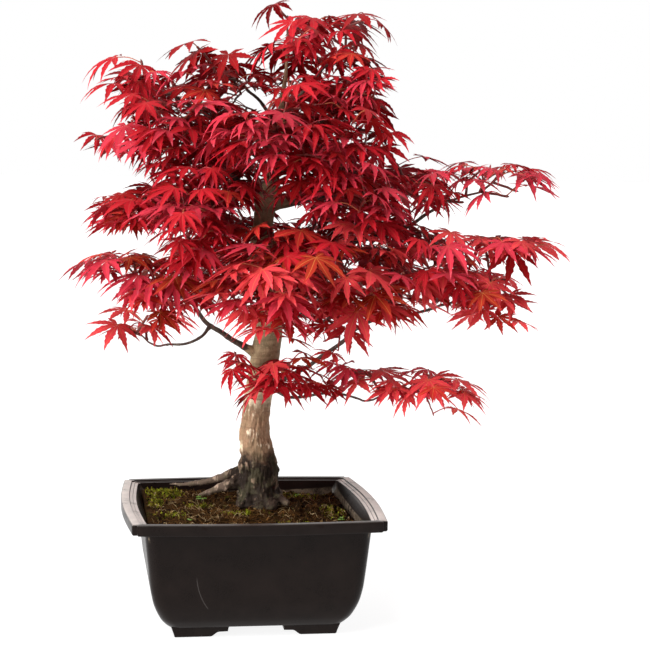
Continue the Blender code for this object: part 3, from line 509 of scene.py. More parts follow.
# masses: name, limb it grows from, centre, half sizes, leaves, spots of its outermost sprays
massPlans = (
    ("crown_top", "trunk", (0.032, 0.018, 0.466), (0.042, 0.046, 0.046), 13, ((0.022, 0.018, 0.5),
     (0.046, 0.012, 0.494), (0.03, -0.012, 0.472))),
    ("crown_right", "right_crown", (0.084, 0.014, 0.47), (0.036, 0.046, 0.036), 11, ((0.076, 0.012, 0.494),
     (0.094, 0.014, 0.462))),
    ("upper_right", "upper_right", (0.092, 0.022, 0.428), (0.04, 0.05, 0.026), 13, ((0.098, 0.018, 0.428),
     (0.084, -0.012, 0.434))),
    ("crown_left", "left_crown", (-0.038, 0.014, 0.447), (0.042, 0.05, 0.036), 12, ((-0.046, 0.012, 0.47),
     (-0.016, 0.01, 0.472))),
    ("top_left", "left_top", (-0.098, 0.016, 0.442), (0.048, 0.048, 0.032), 14, ((-0.092, 0.012, 0.458),
     (-0.106, 0.01, 0.44), (-0.076, -0.016, 0.446))),
    ("upper_left", "left_upper", (-0.078, 0.008, 0.392), (0.066, 0.058, 0.026), 15, ((-0.106, 0.018, 0.396),
     (-0.1, -0.01, 0.408), (-0.05, -0.034, 0.4))),
    ("mid_left", "left_mid", (-0.08, 0.008, 0.344), (0.058, 0.058, 0.028), 15, ((-0.112, 0.008, 0.348),
     (-0.082, -0.02, 0.356), (-0.074, -0.036, 0.332))),
    ("low_left", "left_low", (-0.08, 0.004, 0.276), (0.064, 0.06, 0.03), 16, ((-0.104, 0.002, 0.292),
     (-0.076, -0.036, 0.28), (-0.098, -0.014, 0.272))),
    ("bottom_left", "left_bottom", (-0.098, -0.006, 0.238), (0.052, 0.03, 0.022), 8,
     ((-0.104, -0.004, 0.241), (-0.096, -0.016, 0.238), (-0.086, -0.002, 0.238))),
    ("front_low", "front_low", (0.018, -0.07, 0.274), (0.052, 0.046, 0.032), 14, ((0.03, -0.084, 0.29),
     (0, -0.08, 0.272))),
    ("front_left", "front_left", (-0.044, -0.062, 0.318), (0.034, 0.04, 0.034), 11,
     ((-0.046, -0.078, 0.318),)),
    ("front_upper", "front_upper", (0.022, -0.052, 0.396), (0.046, 0.04, 0.034), 13, ((0.02, -0.064, 0.41),
     (0.044, -0.06, 0.392))),
    ("middle_right", "middle_right", (0.086, -0.04, 0.274), (0.038, 0.048, 0.04), 12,
     ((0.08, -0.062, 0.292), (0.096, -0.05, 0.262))),
    ("right_front", "middle_upper", (0.082, -0.026, 0.368), (0.042, 0.046, 0.04), 15,
     ((0.078, -0.05, 0.386), (0.112, -0.008, 0.392), (0.09, -0.048, 0.344))),
    ("right_inner", "right", (0.134, 0.012, 0.358), (0.034, 0.048, 0.03), 10, ((0.128, 0, 0.368),
     (0.148, 0.006, 0.344))),
    ("right_outer", "right_outer", (0.202, 0.006, 0.36), (0.052, 0.036, 0.026), 12, ((0.176, 0.004, 0.366),
     (0.206, 0.004, 0.371), (0.208, -0.01, 0.352), (0.19, 0.016, 0.366))),
    ("low_right", "right_low", (0.138, -0.004, 0.286), (0.042, 0.052, 0.03), 13, ((0.15, -0.02, 0.29),
     (0.12, -0.03, 0.276), (0.164, -0.008, 0.312))),
    ("low_right_outer", "right_low", (0.212, -0.002, 0.29), (0.05, 0.042, 0.034), 14,
     ((0.218, -0.002, 0.312), (0.19, 0, 0.316), (0.208, -0.01, 0.284), (0.18, -0.02, 0.28))),
    ("lower_right", "lower_right", (0.13, -0.01, 0.196), (0.062, 0.034, 0.024), 12, ((0.128, -0.02, 0.198),
     (0.158, -0.01, 0.202), (0.146, -0.022, 0.192), (0.098, -0.014, 0.206))),
    ("low_middle", "lower_right", (0.008, -0.03, 0.196), (0.04, 0.026, 0.024), 8, ((0, -0.03, 0.204),
     (0.022, -0.032, 0.2))),
    ("back_low", "back_low", (0.024, 0.104, 0.284), (0.06, 0.046, 0.036), 13, ((0.024, 0.118, 0.296),)),
    ("back_left", "back_left", (-0.056, 0.096, 0.332), (0.052, 0.044, 0.04), 12, ((-0.066, 0.106, 0.344),)),
    ("back_right", "back_right", (0.098, 0.092, 0.342), (0.052, 0.044, 0.044), 12, ((0.108, 0.1, 0.352),)),
    ("back_top", "back_top", (0.022, 0.084, 0.412), (0.06, 0.044, 0.036), 12, ((0.02, 0.096, 0.424),)),
)

# how far the crown reaches to the left and the right at each height
crownReach = (
    (0.16, -0.01, 0.192), (0.186, -0.028, 0.206), (0.2, -0.034, 0.198), (0.211, -0.034, 0.13),
    (0.222, -0.128, 0.13), (0.238, -0.146, 0.234), (0.262, -0.143, 0.228), (0.288, -0.146, 0.262),
    (0.304, -0.12, 0.268), (0.32, -0.132, 0.262), (0.338, -0.138, 0.232), (0.352, -0.128, 0.262),
    (0.366, -0.105, 0.262), (0.376, -0.135, 0.245), (0.382, -0.148, 0.15), (0.4, -0.146, 0.132),
    (0.412, -0.124, 0.132), (0.436, -0.148, 0.116), (0.462, -0.136, 0.112), (0.476, -0.11, 0.114),
    (0.486, -0.03, 0.113), (0.498, -0.002, 0.106), (0.512, 0.008, 0.04),
)

# ways kept clear through the crown from front to back: sideways, height, half sizes
openWays = (
    (0.003, 0.328, 0.014, 0.017), (0.032, 0.33, 0.014, 0.009), (0.002, 0.425, 0.012, 0.01),
    (0.135, 0.303, 0.012, 0.006), (-0.112, 0.312, 0.026, 0.008), (0.15, 0.226, 0.06, 0.006),
    (-0.02, 0.212, 0.02, 0.018),
)

pot = {
    "rimTop": 0.098,
    "rimCorner": 0.1,
    "rimBow": 0.0054,
    "rimNotch": 0.004,
    "rimDrop": 0.0089,
    "rimInner": 0.0885,
    "rimInnerBow": 0.0043,
    "ledgeDrop": 0.0011,
    "wall": 0.0034,
    "floor": 0.009,
    "floorTop": 0.0126,
    "corner": 0.0095,
    "drainRadius": 0.0055,
    "drainOut": 0.03,
    "sideSteps": 20,
    "cornerSteps": 7,
    "soften": 0.00055,
    "footSoften": 0.0004,
    "sharp": 42,
    "crisp": 38,
    "gap": 0.0003,
    "profile": ((0.009, 0.07), (0.0118, 0.0728), (0.017, 0.0767), (0.027, 0.0813),
                (0.0365, 0.0838), (0.0484, 0.0856), (0.0891, 0.0898)),
    "footOut": 0.0655,
    "footIn": 0.0365,
    "footShelf": (0.0195, 0.0225, 0.0295, 0.0042),
    "footDeep": 0.015,
}


def quarterTurns(quarter):
    turns = [Matrix.Rotation(k * pi / 2, 3, "Z") for k in range(4)]
    return [turn @ Vector(p) for turn in turns for p in quarter]


def bowedRing(half, bow, notch, z):
    # a square ring with bowed sides and a small step at each corner
    steps, turns = pot["sideSteps"], pot["cornerSteps"]
    quarter = []
    for i in range(steps + 1):
        t = i / steps
        quarter.append(((half - notch) * (2 * t - 1), -half - bow * sin(pi * t), z))
    inner = half - notch * 0.92
    for i in range(turns):
        t = (i + 1) / (turns + 1)
        if t < 0.5:
            x, y = half - notch + (inner - half + notch) * 2 * t, -half + (half - inner) * 2 * t
        else:
            x, y = inner + (half - inner) * (2 * t - 1), -inner + (notch - half + inner) * (2 * t - 1)
        quarter.append((x, y, z))
    return quarterTurns(quarter)


def roundRing(half, radius, z):
    steps, turns = pot["sideSteps"], pot["cornerSteps"]
    quarter = [((half - radius) * (2 * i / steps - 1), -half, z) for i in range(steps + 1)]
    for i in range(turns):
        angle = pi / 2 * (i + 1) / (turns + 1)
        quarter.append((half - radius + radius * sin(angle),
                        -half + radius - radius * cos(angle), z))
    return quarterTurns(quarter)


def cavityHalf(z):
    rows = [(pot["floorTop"], pot["profile"][1][1] + 0.0008)] + list(pot["profile"][3:])
    return float(np.interp(z, *zip(*rows))) - pot["wall"]


def potRings():
    # up the outside on a smooth curve, over the rim's steps and down the inside
    knots = [Vector((half, z, 0)) for z, half in pot["profile"]]
    rings = [roundRing(p.x, pot["corner"], p.y) for p in smoothRoute(knots, 4)]
    top, outer, bow, notch = pot["rimTop"], pot["rimCorner"], pot["rimBow"], pot["rimNotch"]
    under, inner, innerBow, drop = top - pot["rimDrop"], pot["rimInner"], pot["rimInnerBow"], pot["ledgeDrop"]
    band, lipBow = inner + 0.0052, innerBow + 0.0006
    for half, curve, step, z in (
            (outer - 0.0008, bow, notch, under + 0.0002),
            (outer, bow, notch, under + 0.0014),
            (outer, bow, notch, top - 0.0008),
            (outer - 0.0007, bow, notch, top),
            (band, lipBow, notch * 0.6, top),
            (band - 0.0006, lipBow, notch * 0.6, top - drop),
            (band - 0.0026, lipBow - 0.0003, notch * 0.55, top - drop),
            (band - 0.003, lipBow - 0.0003, notch * 0.55, top - drop * 1.5),
            (inner, innerBow, notch * 0.5, top - drop * 1.5),
            (inner - 0.0004, innerBow, notch * 0.5, top - 2.4 * drop)):
        rings.append(bowedRing(half, curve, step, z))
    for z in np.linspace(0.088, pot["floorTop"], 14):
        rings.append(roundRing(cavityHalf(z), pot["corner"] - pot["wall"], z))
    return rings


def footArm(quarter, flip):
    # one arm of a corner foot: flat sole, an ogee up to a shelf, then up to the pot's floor
    out, inner = pot["footOut"], pot["footIn"]
    end, shelf, ogee, shelfZ = pot["footShelf"]
    top = pot["floor"] + 0.0012
    outline = [(out - 0.0014, 0), (out - 0.0003, 0.0006), (out, 0.0022), (out + 0.0028, top), (end, top)]
    for i in range(4):
        t = i / 3 * pi / 2
        outline.append((end + (shelf - end) * sin(t), top + (shelfZ - top) * (1 - cos(t))))
    outline.append((ogee, shelfZ - 0.0002))
    for i in range(1, 6):
        outline.append((ogee + (inner - ogee) * (i / 5), (shelfZ - 0.0002) * (1 - eased(i / 5))))
    rings = []
    for back in (0, pot["footDeep"]):
        grow = 0 if back else 0.0028
        rings.append([Vector((x * flip, -(out - 0.0006 + grow * z / top) + back, z)) for x, z in outline])
    turn = Matrix.Rotation(quarter * pi / 2, 3, "Z")
    return [turn @ p for p in allPoints(rings)], ringSkin(rings)


def drillDrains(piece):
    for sx, sy in ((1, 1), (1, -1), (-1, 1), (-1, -1)):
        spot = potCentre + Vector((sx * pot["drainOut"], sy * pot["drainOut"], pot["floor"] + 0.002))
        bpy.ops.mesh.primitive_cylinder_add(vertices=28, radius=pot["drainRadius"], depth=0.012,
                                            location=spot)
        cutter = bpy.context.object
        applyModifier(piece, "BOOLEAN", operation="DIFFERENCE", solver="EXACT", object=cutter)
        bpy.data.objects.remove(cutter)


def softenEdges(piece, width):
    body = bmesh.new()
    body.from_mesh(piece.data)
    sharp = [e for e in body.edges
             if len(e.link_faces) == 2 and e.calc_face_angle(0) > radians(pot["sharp"])]
    bmesh.ops.bevel(body, geom=sharp, offset=width, segments=2, profile=0.6, affect="EDGES",
                    clamp_overlap=True)
    body.to_mesh(piece.data)
    body.free()
    piece.data.polygons.foreach_set("use_smooth", [True] * len(piece.data.polygons))
    piece.data.set_sharp_from_angle(angle=radians(pot["crisp"]))


def buildPot(plastic):
    rings = potRings()
    piece = makePiece("pot_shell", allPoints(rings), ringSkin(rings), plastic)
    fixNormals(piece)
    drillDrains(piece)
    softenEdges(piece, pot["soften"])
    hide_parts("pot")
    for corner in range(4):
        # an arm on each side of the corner: the second one turned from the next side
        verts, faces = joinSolids([footArm(corner, 1), footArm((corner + 1) % 4, -1)])
        foot = makePiece("pot_foot_%d" % (corner + 1), verts, faces, plastic)
        fixNormals(foot)
        softenEdges(foot, pot["footSoften"])
        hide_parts("pot")
    print("pot ready,", len(piece.data.polygons), "faces")


def plasticFinish():
    finish = Finish("matte black plastic", 0.32, (0.016, 0.013, 0.012), specular=0.11)
    tone, height = finish.grain(55, 1400, 0.35)
    x, y, z = splitNode(finish.tree, vectorNode(finish.tree, "SUBTRACT", finish.place, potCentre))
    # how far out a point is, as a square: the inside walls lie within the rim's opening
    out = finish.math("MAXIMUM", finish.math("ABSOLUTE", x), finish.math("ABSOLUTE", y))
    wall = finish.times(finish.below(out, 0.0868, 0.0872), finish.above(z, 0.0805, 0.085),
                        finish.below(z, 0.086, 0.0965))
    film = finish.plus(finish.times(finish.patches(210, 0.62), 0.55), 0.2)
    base = finish.mix(tone, (0.0066, 0.0038, 0.003), (0.0108, 0.0066, 0.0054))
    base = finish.mix(finish.times(wall, film, tone), base, (0.3, 0.235, 0.165))
    # the rim's upward faces painted pale: painted sheen standing in for reflections of the bright
    # surroundings
    base = finish.mix(paintedSheenTops(finish, x, y, z, tone), base, (0.64, 0.58, 0.535))
    base = finish.mix(scratchMask(finish, x, y, z), base, (0.075, 0.066, 0.062))
    return finish.done(base, tone, (0.26, 0.38), height, 0.14, 0.0005)


def paintedSheenTops(finish, x, y, z, tone):
    # painted sheen: the rim's upper faces are painted pale where they would catch the bright surroundings,
    # along both sides more than in front and behind
    normal = finish.tree.nodes.new("ShaderNodeNewGeometry").outputs["True Normal"]
    across = finish.less(finish.math("ABSOLUTE", x), finish.math("ABSOLUTE", y))
    return finish.times(finish.above(splitNode(finish.tree, normal)["Z"], 0.55, 0.95),
                        finish.above(z, 0.094, 0.095),
                        finish.plus(finish.times(finish.above(across, -0.004, 0.004), 0.9), 0.1),
                        finish.plus(finish.times(tone, 0.35), 0.65))


def scratchMask(finish, x, y, z):
    # one faint curved rub on the front face: a thin arc round a point off to the right
    dx, dz = finish.less(x, 0.0008), finish.less(z, 0.056)
    radius = finish.math("SQRT", finish.plus(finish.times(dx, dx), finish.times(dz, dz)))
    off = finish.math("ABSOLUTE", finish.less(radius, 0.05))
    return finish.times(finish.below(off, 0.0001, 0.0005), finish.below(z, 0.048, 0.055),
                        finish.above(z, 0.026, 0.028), finish.below(y, -0.07, -0.069),
                        finish.below(x, -0.02, -0.019), 0.55)


soil = {
    "level": 0.0885,
    "slopeX": -0.045,
    "slopeY": 0.02,
    "moundRadius": 0.027,
    "moundSkirt": 0.045,
    "edgeZ": 0.0825,
    "rings": 64,
    "lump": 0.0024,
    "fine": 0.0011,
    "waves": (70, 210, 900),
    "pressed": (0.02, 0.012, 0.35),  # flatter near the trunk: from, over, least
    "seed": 31,
    "crumbs": 2000,
    "crumbSize": (0.0004, 0.0011, 2.2),  # least, how much more, how rare the large ones are
    "crumbKinds": (0.46, 0.3, 0.18, 0.06),
    "fibres": 1100,
    "fibreSteps": 7,
    "fibreStride": (0.001, 0.003),
    "fibreRise": (0.0002, 0.0016),
    "fibreThick": (0.00012, 0.00028),
    "fibreKinds": (0.45, 0.35, 0.2),
    "mossBlades": 8000,
    "mossTall": (0.001, 0.0024),
    "mossHalf": (0.00022, 0.00045),
    "mossKinds": (0.4, 0.4, 0.2),
}

# moss patches: middle in the pot's frame, half sizes, how thick they grow
mossPatches = (
    ((-0.068, 0.066), (0.02, 0.024), 1), ((-0.08, 0.024), (0.012, 0.02), 0.9),
    ((-0.04, 0.02), (0.014, 0.01), 0.6), ((-0.01, -0.01), (0.014, 0.009), 0.9),
    ((-0.066, -0.022), (0.016, 0.012), 0.4), ((0.072, 0.006), (0.012, 0.03), 0.5),
    ((0.04, -0.044), (0.026, 0.012), 0.3), ((0.04, 0.062), (0.03, 0.014), 0.3),
)

seedlings = (
    ((-0.037, 0.044), 0.0062), ((0.074, -0.022), 0.0042), ((-0.052, -0.04), 0.0028), ((0.05, 0.07), 0.0036),
)


treeSpin = Matrix.Rotation(tree["turn"], 3, "Z")
treeSpinBack = Matrix.Rotation(-tree["turn"], 3, "Z")


def treePoint(x, y, z):
    # from the tree's own frame to the pot's
    return treeSpin @ Vector((x, y, z))


def fromFoot(x, y):
    # how far a spot on the soil is from the trunk's middle
    foot = treePoint(trunkShape[0][1], tree["trunkY"], 0)
    return hypot(x - foot.x, y - foot.y)


def soilHeight(x, y):
    plane = soil["level"] + soil["slopeX"] * x + soil["slopeY"] * y
    crest = trunkShape[0][0] - pot["gap"]
    ease = eased((fromFoot(x, y) - soil["moundRadius"]) / soil["moundSkirt"])
    return crest * (1 - ease) + plane * ease


def soilSurface(x, y):
    # the soil's height with its lumps, pressed flatter near the trunk
    wide, middling, narrow = (Vector((x, y, 0)) * wave for wave in soil["waves"])
    start, run, least = soil["pressed"]
    press = min(max((fromFoot(x, y) - start) / run, least), 1)
    lumps = noise.turbulence(middling, 4, False)
    rise = (noise.noise(wide) * 0.9 + (lumps - 0.6) * 1.5) * soil["lump"] + noise.noise(narrow) * soil["fine"]
    return soilHeight(x, y) + rise * press


def insideCavity(x, y, margin):
    half = cavityHalf(soil["edgeZ"]) - margin
    corner = pot["corner"] - pot["wall"]
    if abs(x) > half or abs(y) > half:
        return False
    dx, dy = abs(x) - half + corner, abs(y) - half + corner
    return not (dx > 0 and dy > 0 and hypot(dx, dy) > corner)


def buildSoil(earth):
    gap = pot["gap"] * 1.3
    radius = pot["corner"] - pot["wall"]
    rings = [roundRing(cavityHalf(z) - gap, radius, z) for z in (pot["floorTop"] + pot["gap"], 0.027, 0.0484)]
    edge = roundRing(cavityHalf(soil["edgeZ"]) - gap, radius, 0)
    rings.append([Vector((p.x, p.y, soilSurface(p.x, p.y) - 0.0016)) for p in edge])
    foot = treePoint(trunkShape[0][1], tree["trunkY"], 0)
    for k in range(soil["rings"]):
        share = 1 - k / soil["rings"]
        sink = 0 if k else 0.0006
        spots = [(foot.x + (p.x - foot.x) * share, foot.y + (p.y - foot.y) * share) for p in edge]
        rings.append([Vector((x, y, soilSurface(x, y) - sink)) for x, y in spots])
    piece = makePiece("soil_block", allPoints(rings), ringSkin(rings), earth)
    fixNormals(piece)
    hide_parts("soil")
    print("soil ready,", len(piece.data.polygons), "faces")


def soilSpot(rng, margin=0.002):
    half = cavityHalf(soil["edgeZ"])
    while True:
        x, y = rng.uniform(-half, half, 2)
        if insideCavity(x, y, margin):
            return x, y


def mossHere(x, y):
    most = 0
    for (mx, my), (hx, hy), thick in mossPatches:
        away = ((x - mx) / hx) ** 2 + ((y - my) / hy) ** 2
        ragged = 0.5 + 0.9 * noise.noise(Vector((x, y, 0)) * 260)
        most = max(most, thick * max(0, 1 - away) * max(0, ragged) * 2)
    return most


def clearOfTrunk(x, y, margin):
    return fromFoot(x, y) > trunkShape[0][2] + margin


def buildCrumbs(finishes):
    # small broken lumps of peat and bark, pressed into the surface
    rng = np.random.default_rng(soil["seed"])
    points, skin = ballSkin(1, 1)
    shape = np.array([tuple(p) for p in points])
    bundle = Bundle()
    least, more, rare = soil["crumbSize"]
    for crumb in range(soil["crumbs"]):
        x, y = soilSpot(rng)
        size = least + more * rng.random() ** rare
        if not clearOfTrunk(x, y, 0.001):
            continue
        stretch = rng.uniform(0.5, 1.5, 3) * size
        turn = np.array(Matrix.Rotation(rng.uniform(0, 6.28), 3, Vector(rng.normal(size=3))))
        lump = (shape * rng.uniform(0.75, 1.2, (len(shape), 1)) * stretch) @ turn.T
        kind = int(rng.choice(4, p=soil["crumbKinds"]))
        bundle.add(lump + (x, y, soilSurface(x, y) + size * 0.25), skin, kind)
    bundle.build("soil_crumbs", finishes, "earth", smooth=False)


def buildFibres(finishes):
    # thin dry roots and moss threads that curl over the surface
    rng = np.random.default_rng(soil["seed"] + 1)
    bundle = Bundle()
    for fibre in range(soil["fibres"]):
        x, y = soilSpot(rng, 0.004)
        if not clearOfTrunk(x, y, 0.001):
            continue
        heading = rng.uniform(0, 2 * pi)
        stride = rng.uniform(*soil["fibreStride"])
        route = []
        rise = rng.uniform(*soil["fibreRise"])
        lift = rng.uniform(0.5, 1)
        for k in range(soil["fibreSteps"]):
            if not insideCavity(x, y, 0.003):
                break
            loop = 0.003 if rng.random() < 0.02 else 0
            arch = sin(pi * k / (soil["fibreSteps"] - 1)) * rise * 2.2 + loop
            route.append(Vector((x, y, soilSurface(x, y) + 0.0002 + arch * lift)))
            heading += rng.uniform(-0.6, 0.6)
            x += cos(heading) * stride
            y += sin(heading) * stride
        if len(route) < 3:
            continue
        radius = rng.uniform(*soil["fibreThick"])
        bundle.tube(route, [radius * (1 - 0.6 * k / len(route)) for k in range(len(route))], 3,
                    int(rng.choice(3, p=soil["fibreKinds"])))
    bundle.build("soil_fibres", finishes, "earth")


def buildMoss(finishes):
    # upright little blades, thickest in the patches' middles
    rng = np.random.default_rng(soil["seed"] + 2)
    bundle = Bundle()
    made = 0
    for trial in range(soil["mossBlades"] * 8):
        if made >= soil["mossBlades"]:
            break
        x, y = soilSpot(rng, 0.003)
        thick = mossHere(x, y)
        if rng.random() > thick or not clearOfTrunk(x, y, 0.0015):
            continue
        made += 1
        foot = Vector((x, y, soilSurface(x, y) - 0.0002))
        turn = rng.uniform(0, 2 * pi)
        lean = Vector((cos(turn), sin(turn), 0))
        tall = rng.uniform(*soil["mossTall"])
        wide = Vector((-lean.y, lean.x, 0)) * rng.uniform(*soil["mossHalf"])
        middle = foot + lean * tall * 0.35 + upward * tall * 0.7
        tip = foot + lean * tall * rng.uniform(0.5, 1.1) + upward * tall
        points = [foot - wide * 0.6, foot + wide * 0.6, middle + wide, middle - wide, tip]
        kind = int(rng.choice(3, p=soil["mossKinds"]))
        bundle.add(points, [(0, 1, 2), (0, 2, 3), (3, 2, 4)], kind)
    bundle.build("moss", finishes, "earth")


def buildSeedlings(finishes):
    rng = np.random.default_rng(soil["seed"] + 3)
    bundle = Bundle()
    for (x, y), size in seedlings:
        foot = Vector((x, y, soilSurface(x, y) - 0.0003))
        for leaf in range(5):
            turn = 2 * pi * leaf / 5 + rng.uniform(-0.3, 0.3)
            out = Vector((cos(turn), sin(turn), 0))
            reach = size * rng.uniform(0.45, 0.85)
            hub = foot + out * reach * 0.7 + upward * size * rng.uniform(0.5, 1)
            bundle.tube([foot, foot.lerp(hub, 0.6) + upward * size * 0.15, hub], (0.0002, 0.00018, 0.00015),
                        3, 0)
            across = Vector((-out.y, out.x, 0))
            wide = size * rng.uniform(0.28, 0.42)
            points = [hub + upward * wide * 0.12]
            for k in range(10):
                angle = 2 * pi * k / 10
                spread = wide * (1 if k % 5 else 0.86)
                points.append(hub + out * cos(angle) * spread + across * sin(angle) * spread
                              + upward * wide * 0.25 * rng.uniform(0.4, 1.2))
            bundle.add(points, [(0, 1 + k, 1 + (k + 1) % 10) for k in range(10)], 1 + leaf % 2)
    bundle.build("seedlings", finishes, "earth")


def earthFinish(name, dark, light, moss=0):
    finish = Finish(name, 0.92, light, specular=0.04)
    tone, height = finish.grain(260, 1100, 0.55)
    base = finish.stain(finish.patches(55, 0.45), 0.45, finish.mix(tone, dark, light),
                        tuple(c * 0.45 for c in dark))
    if moss:
        base = finish.mix(finish.patches(120, moss), base, (0.08, 0.076, 0.01))
    return finish.done(base, tone, (0.84, 0.97), height, 0.8, 0.0016)


# what lies on the soil, each kind with its dark and its light tone
soilTints = {
    "crumb": (("dark", (0.006, 0.003, 0.001), (0.03, 0.015, 0.006)),
              ("brown", (0.024, 0.011, 0.004), (0.09, 0.046, 0.017)),
              ("russet", (0.06, 0.025, 0.006), (0.19, 0.09, 0.028)),
              ("straw", (0.13, 0.076, 0.028), (0.33, 0.205, 0.085))),
    "fibre": (("brown", (0.05, 0.024, 0.009), (0.15, 0.078, 0.03)),
              ("russet", (0.11, 0.05, 0.016), (0.29, 0.145, 0.05)),
              ("straw", (0.36, 0.25, 0.12), (0.78, 0.58, 0.32))),
    "moss": (("green", (0.062, 0.078, 0.004), (0.24, 0.27, 0.018)),
             ("olive", (0.11, 0.086, 0.01), (0.4, 0.32, 0.045)),
             ("bright", (0.2, 0.27, 0.01), (0.56, 0.64, 0.045))),
    "sprout": (("stem", (0.07, 0.08, 0.02), (0.11, 0.12, 0.04)),
               ("leaf", (0.11, 0.29, 0.03), (0.25, 0.5, 0.09)),
               ("pale", (0.22, 0.43, 0.09), (0.42, 0.64, 0.22))),
}


def dressSoil():
    buildSoil(earthFinish("peat", (0.006, 0.0026, 0.0007), (0.068, 0.033, 0.009), 0.24))
    for kind, build in (("crumb", buildCrumbs), ("fibre", buildFibres), ("moss", buildMoss),
                        ("sprout", buildSeedlings)):
        build([earthFinish(kind + " " + tint, dark, light) for tint, dark, light in soilTints[kind]])


# masses that leave their bough part of the way along it: route points and the share between them
sideStarts = {
    "low_right": (3, 4, 0.45),
    "low_middle": (1, 2, 0.15),
}

# lumps on the trunk's foot and knots further up: place, radius
trunkLumps = (
    ((0.018, 0.005, 0.093), 0.0064), ((0.009, 0.004, 0.0915), 0.0052), ((-0.006, 0.01, 0.093), 0.0056),
    ((0.002, 0.013, 0.133), 0.0058), ((0.01, 0.034, 0.124), 0.0064), ((0.02, 0.026, 0.118), 0.0052),
)

# roots that arch out of the flare and run over the soil: points, radii
surfaceRoots = (
    (((0, 0.024, 0.119), (-0.012, 0.026, 0.116), (-0.026, 0.034, 0.1095), (-0.044, 0.05, 0.102),
      (-0.062, 0.068, 0.097), (-0.073, 0.077, 0.0955)), (0.006, 0.0048, 0.0034, 0.0026, 0.0018, 0.0008)),
    (((0, 0.018, 0.112), (-0.012, 0.018, 0.1085), (-0.022, 0.021, 0.1045), (-0.034, 0.028, 0.0985),
      (-0.044, 0.036, 0.094)), (0.0078, 0.0062, 0.0042, 0.0028, 0.0016)),
    (((0.014, 0.02, 0.099), (0.026, 0.01, 0.096), (0.033, 0.004, 0.0935)), (0.006, 0.004, 0.0022)),
    (((0.014, 0.026, 0.099), (0.022, 0.042, 0.096), (0.026, 0.052, 0.0935)), (0.006, 0.004, 0.0022)),
    (((0.004, 0.026, 0.099), (-0.006, 0.044, 0.096), (-0.012, 0.052, 0.0935)), (0.006, 0.004, 0.0022)),
)

barkLook = {
    "limbStep": 0.0011,
    "collar": 0.65,
    "nodeEvery": 0.017,
    "nodeHalf": 0.0011,
    "nodeRise": 0.16,
    "sides": 56,
    "step": 0.0016,
    "voxel": 0.00085,
    "footTop": 0.134,
    "creamTop": 0.172,
    "fissure": 0.0012,
    "wrinkle": 0.00065,
    "calm": 0.00016,
}


def trunkAxis(z):
    heights, across = zip(*(row[:2] for row in trunkShape))
    return Vector((float(np.interp(z, heights, across)), tree["trunkY"], z))


def trunkRings():
    # the trunk's rows drawn as smooth curves, with the flare's lobes near the soil
    fine = smoothRoute([Vector((x, r, z)) for z, x, r in trunkShape], 8)
    heights = [p.z for p in fine]
    rings = []
    foot, top = trunkShape[0][0], trunkShape[-1][0]
    for z in np.linspace(foot, top, int((top - foot) / barkLook["step"])):
        x, r = (float(np.interp(z, heights, [p[axis] for p in fine])) for axis in (0, 1))
        low = max(0, 1 - (z - foot) / 0.03)
        swell = 1 + 0.025 * noise.noise(Vector((0, 0, z * 90)))
        ring = []
        for k in range(barkLook["sides"]):
            turn = 2 * pi * k / barkLook["sides"]
            reach = r * (1 + 0.12 * low * sin(tree["flareLobes"] * turn + 0.8)) * swell
            ring.append(treePoint(x + reach * cos(turn), tree["trunkY"] + reach * sin(turn), z))
        rings.append(ring)
    return rings


def rootSolid(points, radii):
    route = []
    for (x, y, z), r in zip(points, radii):
        spot = treePoint(x, y, z)
        spot.z = max(z, soilHeight(spot.x, spot.y) + r * 0.7)
        route.append(spot)
    at = np.linspace(0, len(radii) - 1, (len(radii) - 1) * 6 + 1)
    return limbSolid(smoothRoute(route, 6), [float(np.interp(t, range(len(radii)), radii)) for t in at], 14)


def remesh(piece, voxel):
    applyModifier(piece, "REMESH", mode="VOXEL", voxel_size=voxel, use_smooth_shade=True)
    applyModifier(piece, "SMOOTH", factor=0.5, iterations=3)


def noiseAt(spot, across, up):
    # noise drawn out along the trunk or round it
    return noise.noise(Vector((spot.x * across, spot.y * across, spot.z * up)))


def barkRelief(spot):
    # how far the bark stands out at a place: fissured foot, wrinkled band above it, calm higher up
    fissure, wrinkled = barkLook["fissure"], barkLook["wrinkle"]
    foot = unit((barkLook["footTop"] - spot.z) / 0.01 + 0.5 + 0.6 * noise.noise(spot * 90))
    band = unit((barkLook["creamTop"] - spot.z) / 0.016 + 0.5) * (1 - foot)
    calm = 1 - foot - band
    ridge = 1 - abs(noiseAt(spot, 420, 75)) * 2.2
    lumps = noise.turbulence(spot * 150, 3, False) - 0.5
    wrinkle = 1 - abs(noiseAt(spot, 520, 60)) * 2.6
    rings = noiseAt(spot, 60, 420)
    pores = max(0, noiseAt(spot, 500, 1100) - 0.35) * 3
    fine = noise.noise(spot * 1100) * 0.25
    out = foot * ((ridge - 0.5) * fissure + lumps * fissure * 1.3)
    out += band * ((wrinkle - 0.5) * wrinkled + lumps * wrinkled * 1.8)
    out += calm * (rings * 0.8 + pores * 0.9) * barkLook["calm"]
    out += fine * (0.0003 * foot + 0.00012)
    # the mark is high on ridges and low in hollows: the bark's colour uses it to paint shade into the hollows
    mark = foot * (ridge * 0.55 + lumps * 0.9) + band * (wrinkle * 0.5 + lumps * 0.8)
    mark += calm * (0.45 + pores * 0.5 + rings * 0.25)
    return out, unit(mark)


